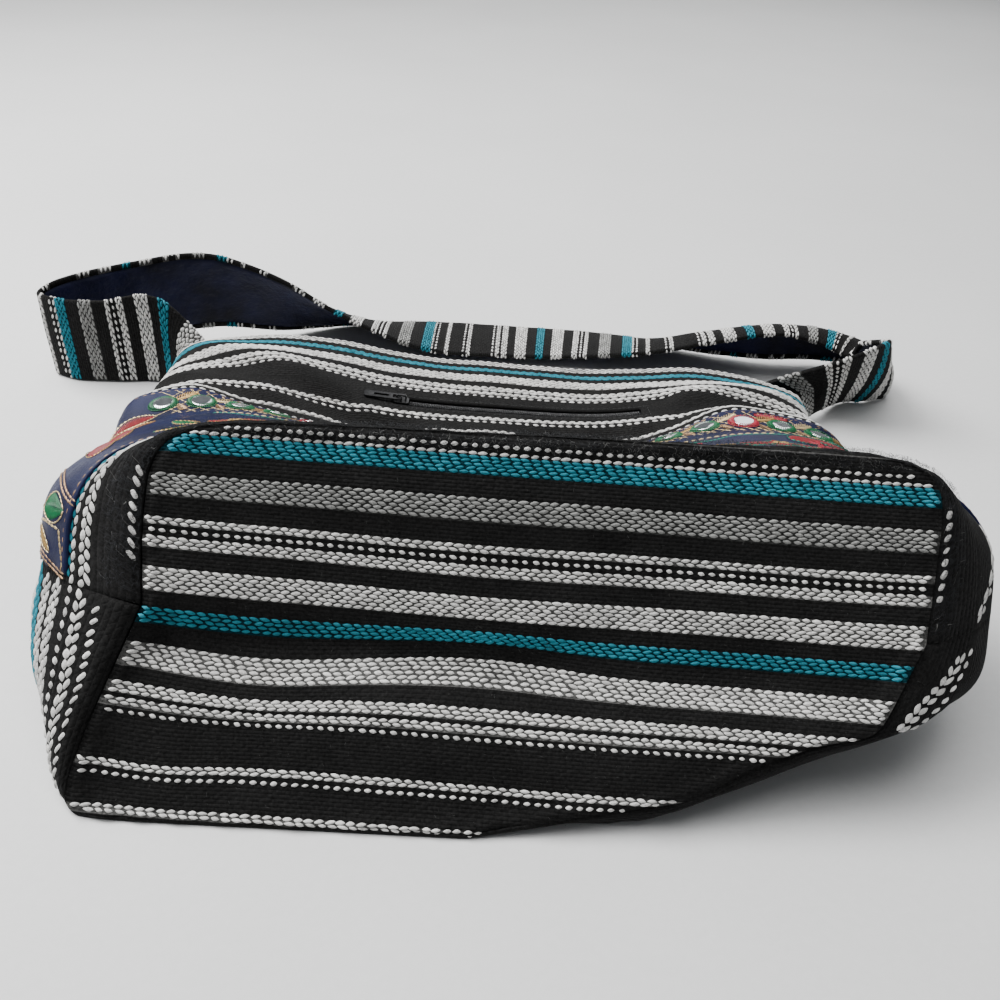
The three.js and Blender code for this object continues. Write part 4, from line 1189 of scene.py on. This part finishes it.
def lay_lines(silk, zari):
    for height, wave, pitch, phase, colour, length, width, gap in BAND_LINES:
        line = band_line(height, wave, pitch, phase)
        line_of_stitches(silk, *line, THREADS[colour], length, width, BAND_TOP, gap)
    for low, high, reach in LATTICES:
        for start in np.arange(-reach - (high - low), reach, LATTICE_PITCH):
            for ends in ((low, high), (high, low)):
                us, vs = start + np.linspace(0, high - low, 12), np.linspace(*ends, 12)
                inside = np.abs(us) < reach
                if inside.sum() > 3:
                    line_of_stitches(zari, us[inside], vs[inside], THREADS["cream"], 3.6, 0.46, BAND_TOP,
                                     height=0.3)


def lay_mirror_rings(silk, zari, places):
    """Two rings of thread round each mirror, with two ferns beside it."""
    for k, u0 in enumerate(places):
        colour = THREADS["rose" if k % 6 == 4 else "green"]
        ring_of_stitches(silk, u0, MIRROR_HEIGHT, 6.0, 34, 0.0, 3.4, 1.15, 1.1, colour, MIRROR_LIFT + 0.3)
        ring_of_stitches(silk, u0, MIRROR_HEIGHT, 7.7, 40, 1.57, 1.3, 0.8, 0.7, colour, BAND_TOP + 0.3)
        fern = THREADS["cream" if k % 2 else "gold"]
        lift = BAND_TOP + 0.25
        leaf_fill(zari, u0 + 10.5, MIRROR_HEIGHT + 6.5, 0.55, 16.0, 6.4, fern, lift, step=1.45)
        leaf_fill(zari, u0 + 10.0, MIRROR_HEIGHT - 6.0, -1.1, 9.5, 4.6, THREADS["tan"], lift, step=1.45)


def lay_flowers(silk, zari):
    fill_lift, line_lift = BAND_TOP + 0.1, BAND_TOP + 0.2
    for k in range(FLOWERS):
        u0 = (k - FLOWERS // 2) * FLOWER_PITCH
        v0 = FLOWER_HEIGHT + (FLOWER_SWAY if k % 2 else -FLOWER_SWAY)
        for petal in range(PETALS):
            angle = petal * TURN / PETALS + PETAL_TURN
            place = turned(u0, v0, angle, PETAL_REACH)
            colour, rim = THREADS["red" if petal % 2 else "rose"], THREADS["mint" if u0 > 0 else "gold"]
            leaf_fill(silk, *place, angle, PETAL_LENGTH, PETAL_WIDTH, colour, fill_lift, fishbone=False)
            leaf_outline(zari, *place, angle, PETAL_LENGTH + 0.6, PETAL_WIDTH + 0.7, rim, line_lift)
        ring_of_stitches(silk, u0, v0, 2.2, 14, 0.0, 4.0, 1.4, 0.9, THREADS["gold"], BAND_TOP + 0.5)
        for side in (-1, 1):
            for reach, rise, angle, length in FLOWER_LEAVES:
                place = u0 + side * reach, v0 + rise
                angle = angle if side > 0 else math.pi - angle
                leaf_fill(silk, *place, angle, length, 8.0, THREADS["green"], fill_lift)
                leaf_outline(zari, *place, angle, length + 0.8, 8.8, THREADS["gold"], line_lift)
        stem = np.linspace(0, 1, 20)
        line_of_stitches(silk, u0 + FLOWER_PITCH * stem, v0 + STEM_SWAY * np.sin(TURN * stem),
                         THREADS["mint"], 2.6, 1.1, BAND_TOP)
        for petal in range(BUD_PETALS):
            angle = petal * TURN / BUD_PETALS + BUD_TURN
            place = turned(u0 + FLOWER_PITCH / 2, BUD_HEIGHT, angle, BUD_REACH)
            leaf_fill(silk, *place, angle, BUD_LENGTH, BUD_WIDTH, THREADS["rose"], line_lift, fishbone=False)


def lay_ends(silk, zari):
    for u0, v0, angle, length, width, colour, rim in END_LEAVES:
        fishbone = colour == "green"
        ahead = FISHBONE_AHEAD if fishbone else 0.0
        leaf_fill(silk, u0, v0, angle, length, width, THREADS[colour], BAND_TOP + 0.1, fishbone)
        leaf_outline(zari, *turned(u0, v0, angle, ahead), angle, length + 0.8 + ahead, width + 0.8,
                     THREADS[rim], BAND_TOP + 0.2)
    for u0, v0, u1, v1, colour in END_LINES:
        line_of_stitches(zari, np.array([u0, u1]), np.array([v0, v1]), THREADS[colour], 2.4, 1.3, BAND_TOP)


def make_band():
    run, share = np.meshgrid(np.linspace(0.003, 0.997, 190), np.linspace(0.0, 1.0, 124))
    low = BAND_FROM + side_slip((run - 0.5) * front.length_at(BAND_FROM))
    v = low + share * (BAND_TO - low)
    pinked = PINK_DEPTH * np.abs((v / PINK_PITCH) % 1.0 - 0.5) * 2.0
    run = 0.5 + (run - 0.5) * (1 - 2 * pinked / front.length_at(v))
    u = (run - 0.5) * front.length_at(v)
    rolled = EDGE_ROLL * bell(np.minimum(v - low, BAND_TO - v) - EDGE_PLACE, EDGE_WIDTH)
    outer = front.at_run(run, v, BAND_LIFT + BAND_THICK + waves(BAND_WAVES, u, v) + rolled)
    inner = front.at_run(run, v, BAND_LIFT + 0 * v)
    piece = wall("band_satin", outer, inner, np.stack([u, v], -1))
    dress(piece, SATIN, nodes=["embroidered_band"])

    silk, zari = Stitches(front), Stitches(front)
    mirrors = (np.arange(MIRROR_COUNT) - (MIRROR_COUNT - 1) / 2) * MIRROR_PITCH
    lay_lines(silk, zari)
    lay_mirror_rings(silk, zari, mirrors)
    lay_flowers(silk, zari)
    lay_ends(silk, zari)
    silk_piece = dress(silk.make("band_silk", grain=GRAIN_THREAD), SILK)
    zari_piece = dress(zari.make("band_metal_thread", grain=GRAIN_THREAD), ZARI)
    make_mirrors(mirrors)


# Rings of points of a mirror: height over its underside and share of its radius
MIRROR_SIDES = 28
MIRROR_RINGS = [(0.0, 1.0), (0.6, 1.0), (MIRROR_THICK, 0.94), (MIRROR_THICK, 0.5)]


def make_mirrors(places):
    """Round mirrors with a small bevel, lying in their rings of thread."""
    turn = np.arange(MIRROR_SIDES) / MIRROR_SIDES * TURN
    number = np.arange(len(MIRROR_RINGS) * MIRROR_SIDES).reshape(-1, MIRROR_SIDES)
    quads = strips(number, np.roll(number, -1, axis=1))
    low = number[0]
    fan = np.stack([np.zeros(MIRROR_SIDES - 2, int), low[1:-1], low[2:]], 1)
    faces = [quads[:, [0, 3, 2]], quads[:, [0, 2, 1]], fan + number[-1, 0], fan[:, [0, 2, 1]]]
    faces = np.concatenate(faces)
    points = []
    for u0 in places:
        here = np.array([u0]), np.array([MIRROR_HEIGHT])
        middle = front.at(*here, np.array([MIRROR_LIFT]))[0]
        right = unit(front.at(here[0] + 2, here[1])[0] - front.at(here[0] - 2, here[1])[0])
        ahead = front.at(here[0], here[1] + 2)[0] - front.at(here[0], here[1] - 2)[0]
        out = unit(np.cross(right, ahead))
        ahead = np.cross(out, right)
        spokes = np.cos(turn)[:, None] * right + np.sin(turn)[:, None] * ahead
        points += [middle + out * height + share * MIRROR_RADIUS * spokes for height, share in MIRROR_RINGS]
    faces = np.concatenate([faces + k * number.size for k in range(len(places))])
    piece = new_mesh_object("mirrors", np.concatenate(points), faces)
    nodes = [f"mirror_{k + 1:02d}" for k in range(MIRROR_COUNT)]
    dress(piece, GLASS, nodes=nodes)


# Zip

ZIP_LEFT, ZIP_RIGHT = ZIP_SHIFT - ZIP_LENGTH / 2, ZIP_SHIFT + ZIP_LENGTH / 2
TAPE_UPPER, TAPE_LOWER = -2.5, -3.3
TEETH_PITCH, TEETH_OFF, TEETH_LEAN, CORD_OFF = 0.72, 0.55, 0.16, 1.55
BOX_ENDS, BOX_SIDES = 4.5, 2.2


def rounded_copy(node, name, bevel, body):
    """The solid's own shape with its edges rounded."""
    mesh = bmesh.new()
    mesh.from_mesh(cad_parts[node].data)
    bmesh.ops.remove_doubles(mesh, verts=mesh.verts, dist=1e-6)
    bmesh.ops.dissolve_limit(mesh, angle_limit=0.02, verts=mesh.verts, edges=mesh.edges)
    sharp = [e for e in mesh.edges if len(e.link_faces) == 2 and e.calc_face_angle() > 0.6]
    bmesh.ops.bevel(mesh, geom=sharp, offset=bevel * MM, offset_type="OFFSET", segments=3, profile=0.6,
                    affect="EDGES", clamp_overlap=True)
    data = bpy.data.meshes.new(name)
    mesh.to_mesh(data)
    mesh.free()
    for face in data.polygons:
        face.use_smooth = True
    data.set_sharp_from_angle(angle=math.radians(45))
    dress(link_object(name, data), LACQUER, body, [node])


def make_zip():
    reach = ZIP_SLOT / 2 + TAPE_MARGIN
    u, v = np.meshgrid(np.linspace(ZIP_LEFT - TAPE_MARGIN, ZIP_RIGHT + TAPE_MARGIN, 90),
                       np.linspace(ZIP_HEIGHT - reach, ZIP_HEIGHT + reach, 16))
    upper, lower = (front.at(u, v, height + 0 * u) for height in (TAPE_UPPER, TAPE_LOWER))
    tape = wall("zip_tape_cloth", upper, lower, np.stack([u, v], -1))
    dress(tape, TAPE, nodes=["zip_tape"])

    coil = Stitches(front)
    start = ZIP_LEFT + SLIDER_LENGTH + 0.6
    teeth = np.arange(start + 0.5, ZIP_RIGHT - 1.4, TEETH_PITCH)
    side = np.where(np.arange(len(teeth)) % 2, 1.0, -1.0)
    coil.add(teeth, ZIP_HEIGHT + TEETH_OFF * side, math.pi / 2 + TEETH_LEAN * side, 3.3, 0.86, 1.5,
             THREADS["teeth"], -1.15)
    us = np.linspace(start, ZIP_RIGHT - 1.2, 300)
    for side in (-1, 1):
        vs = ZIP_HEIGHT + CORD_OFF * side + 0 * us
        line_of_stitches(coil, us, vs, THREADS["cord"], 1.3, 0.55, -1.3, height=1.1)
    dress(coil.make("zip_coil_teeth", 0.05), NYLON, nodes=["zip_coil"])
    rounded_copy("zip_slider", "slider_body", 0.28, "bag")
    rounded_copy("zip_pull", "slider_pull", 0.25, "zip_pull")

    box = Stitches(front)
    left, right = ZIP_LEFT - BOX_ENDS, ZIP_RIGHT + BOX_ENDS
    low, high = ZIP_HEIGHT - ZIP_SLOT / 2 - BOX_SIDES, ZIP_HEIGHT + ZIP_SLOT / 2 + BOX_SIDES
    corners = np.array([[left, low], [right, low], [right, high], [left, high], [left, low]])
    for a, b in zip(corners[:-1], corners[1:]):
        us, vs = np.linspace(a, b, 80).T
        line_of_stitches(box, us, vs, THREADS["black"], 2.4, 0.6, 0.05, gap=0.7)
    for panel, name, hem in ((front, "hem_stitches_front", box), (back, "hem_stitches_back", Stitches(back))):
        line = np.linspace(*panel.ends_at(PANEL_HEIGHT - HEM), 500)[8:-8]
        line_of_stitches(hem, line, PANEL_HEIGHT - HEM + HEM_STITCH + 0 * line, THREADS["black"], 2.6, 0.6,
                         -0.35, gap=0.8)
        dress(hem.make(name), SILK)


# Loose ends of yarn: which surface, how many, their length and rise from and to, half width and dark share
HAIR_COLUMNS = ["where", "count", "length", "rise", "thin", "dark"]
HAIR_ROWS = [
    ["front", 3400, (0.6, 2.0), (0.3, 1.2), 0.028, 0.85],
    ["back", 1600, (0.6, 2.0), (0.3, 1.2), 0.028, 0.85],
    ["bottom", 4600, (0.6, 2.0), (0.3, 1.2), 0.028, 0.85],
    ["strap", 2600, (0.6, 2.0), (0.3, 1.2), 0.028, 0.85],
    ["seam", 4400, (1.2, 3.6), (0.5, 2.1), 0.055, 0.97],
    ["ridge", 3800, (1.0, 2.8), (0.5, 1.9), 0.055, 0.80],
]
HAIR_DARK, HAIR_PALE = (0.016, 0.017, 0.019), (0.13, 0.13, 0.126)
HAIR_BEND, HAIR_TAPER = 1.1, 0.6
SEAM_FUZZ = 7.0
PULL_CLEAR = 18.0


def hair_places(where, count):
    """Roots of loose ends as u and v on the surface they stand on."""
    if where == "strap":
        u = rng.uniform(-28.5, 28.5, count)
        u = np.where(rng.random(count) < 0.5, np.sign(u) * rng.uniform(27.5, 29, count), u)
        return u, rng.uniform(26, strap.length - 26, count)
    if where in ("bottom", "ridge"):
        low, high = (1, SEAM_FUZZ) if where == "ridge" else (4, BOTTOM_TALL - 3)
        u, v = rng.uniform(-140, 195, count), rng.uniform(low, high, count)
        inside = bottom.edge_share(u, v)[0] < 0.98
        return u[inside], v[inside]
    panel = back if where == "back" else front
    v = rng.uniform(0.8, SEAM_FUZZ, count) if where == "seam" else rng.uniform(2, PANEL_HEIGHT - 1, count)
    u = rng.uniform(-0.49, 0.49, count) * panel.length_at(v)
    if where != "front":
        return u, v
    by_zip = (np.abs(u - ZIP_SHIFT) < ZIP_LENGTH / 2 + PULL_CLEAR) & (np.abs(v - ZIP_HEIGHT) < PULL_CLEAR)
    clear = ((v < BAND_FROM) | (v > BAND_TO)) & ~by_zip
    return u[clear], v[clear]


def make_fibres():
    """Fine loose ends of yarn that stand out of the cloth, most of them along the front's bottom seam."""
    surfaces = {"front": front, "seam": front, "back": back, "bottom": bottom, "ridge": bottom,
                "strap": strap}
    points, colours = [], []
    for values in HAIR_ROWS:
        hair = dict(zip(HAIR_COLUMNS, values))
        u, v = hair_places(hair["where"], hair["count"])
        count = len(u)
        angle = rng.uniform(0, 2 * np.pi, count)
        length = rng.uniform(*hair["length"], count)
        rise = rng.uniform(*hair["rise"], count)
        dark = rng.random(count) < hair["dark"]
        shade = np.where(dark[:, None], np.array([HAIR_DARK]), np.array([HAIR_PALE]))
        strip = []
        for t in np.linspace(0, 1, 3):
            bend = angle + HAIR_BEND * t * np.sin(angle * 3)
            pu, pv = turned(u, v, bend, t * length)
            pv = np.maximum(pv, PANEL_START)
            thin = hair["thin"] * (1 - HAIR_TAPER * t)
            height = 0.1 + rise * np.sin(np.pi * (0.15 + 0.6 * t))
            for edge in (-1, 1):
                strip.append(surfaces[hair["where"]].at(*turned(pu, pv, bend, 0.0, edge * thin), height))
        strip = np.stack(strip, 1)
        strip[..., 2] = np.maximum(strip[..., 2], LEAST_HAIR_Z)
        points.append(strip.reshape(-1, 3))
        colours.append(np.repeat(shade, 6, 0))
    points = np.concatenate(points)
    quads = np.array([[0, 2, 3, 1], [2, 4, 5, 3]])
    faces = (quads[None] + np.arange(0, len(points), 6)[:, None, None]).reshape(-1, 4)
    piece = new_mesh_object("loose_fibres", points, faces, colours=np.concatenate(colours))
    dress(piece, YARN)


# Stage

FLOOR_HALF, FLOOR_DROP = 15000.0, -0.3
ROOM_COLOUR, ROOM_STRENGTH = (0.80, 0.83, 0.86, 1.0), 0.24

# Lamps: name, place and target in metres, side length and watts
LAMP_ROWS = [
    ["window", (-1.0, 0.35, 1.25), (0.0, -0.05, 0.05), 1.0, 52.0],
    ["overhead", (-0.2, 0.0, 1.9), (0.0, -0.1, 0.0), 1.6, 28.0],
    ["rear", (0.5, 1.5, 1.1), (0.1, 0.15, 0.0), 1.2, 8.0],
]


def set_up(name, data, axes, place):
    """A lamp or a camera with its right, up and backward axes."""
    matrix = np.eye(4)
    matrix[:3, :3], matrix[:3, 3] = np.stack(axes, 1), place
    made = link_object(name, data)
    made.matrix_world = Matrix(matrix.tolist())
    return made


def make_stage():
    corners = [[x * FLOOR_HALF, y * FLOOR_HALF, FLOOR_DROP] for x, y in ((-1, -1), (1, -1), (1, 1), (-1, 1))]
    floor = new_mesh_object("floor", np.array(corners), np.array([[0, 1, 2, 3]]))
    floor.data.materials.append(floor_material())
    world = bpy.data.worlds.new("soft_room")
    world.use_nodes = True
    sky = world.node_tree.nodes["Background"].inputs
    sky["Color"].default_value = ROOM_COLOUR
    sky["Strength"].default_value = ROOM_STRENGTH
    bpy.context.scene.world = world
    for name, place, target, size, power in LAMP_ROWS:
        data = bpy.data.lights.new(name, "AREA")
        data.shape = "SQUARE"
        data.size = size
        data.energy = power
        backward = unit(np.array(place) - np.array(target))
        right = unit(np.cross(np.array([0, 0, 1.0]), backward))
        set_up(name, data, [right, np.cross(backward, right), backward], place)


def make_camera():
    pitch, roll = math.radians(CAMERA_PITCH), math.radians(CAMERA_ROLL)
    backward = np.array([0.0, -math.cos(pitch), math.sin(pitch)])
    level, upright = np.array([1.0, 0, 0]), np.array([0.0, math.sin(pitch), math.cos(pitch)])
    right = math.cos(roll) * level + math.sin(roll) * upright
    up = math.cos(roll) * upright - math.sin(roll) * level
    data = bpy.data.cameras.new("camera")
    data.lens, data.sensor_width, data.sensor_fit = LENS, SENSOR, "HORIZONTAL"
    data.clip_start = 0.01
    bpy.context.scene.camera = set_up("camera", data, [right, up, backward], np.array(CAMERA_AT) * MM)


make_camera()
make_stage()
make_bottom()
make_front()
make_back()
make_band()
make_zip()
make_strap()
make_fibres()
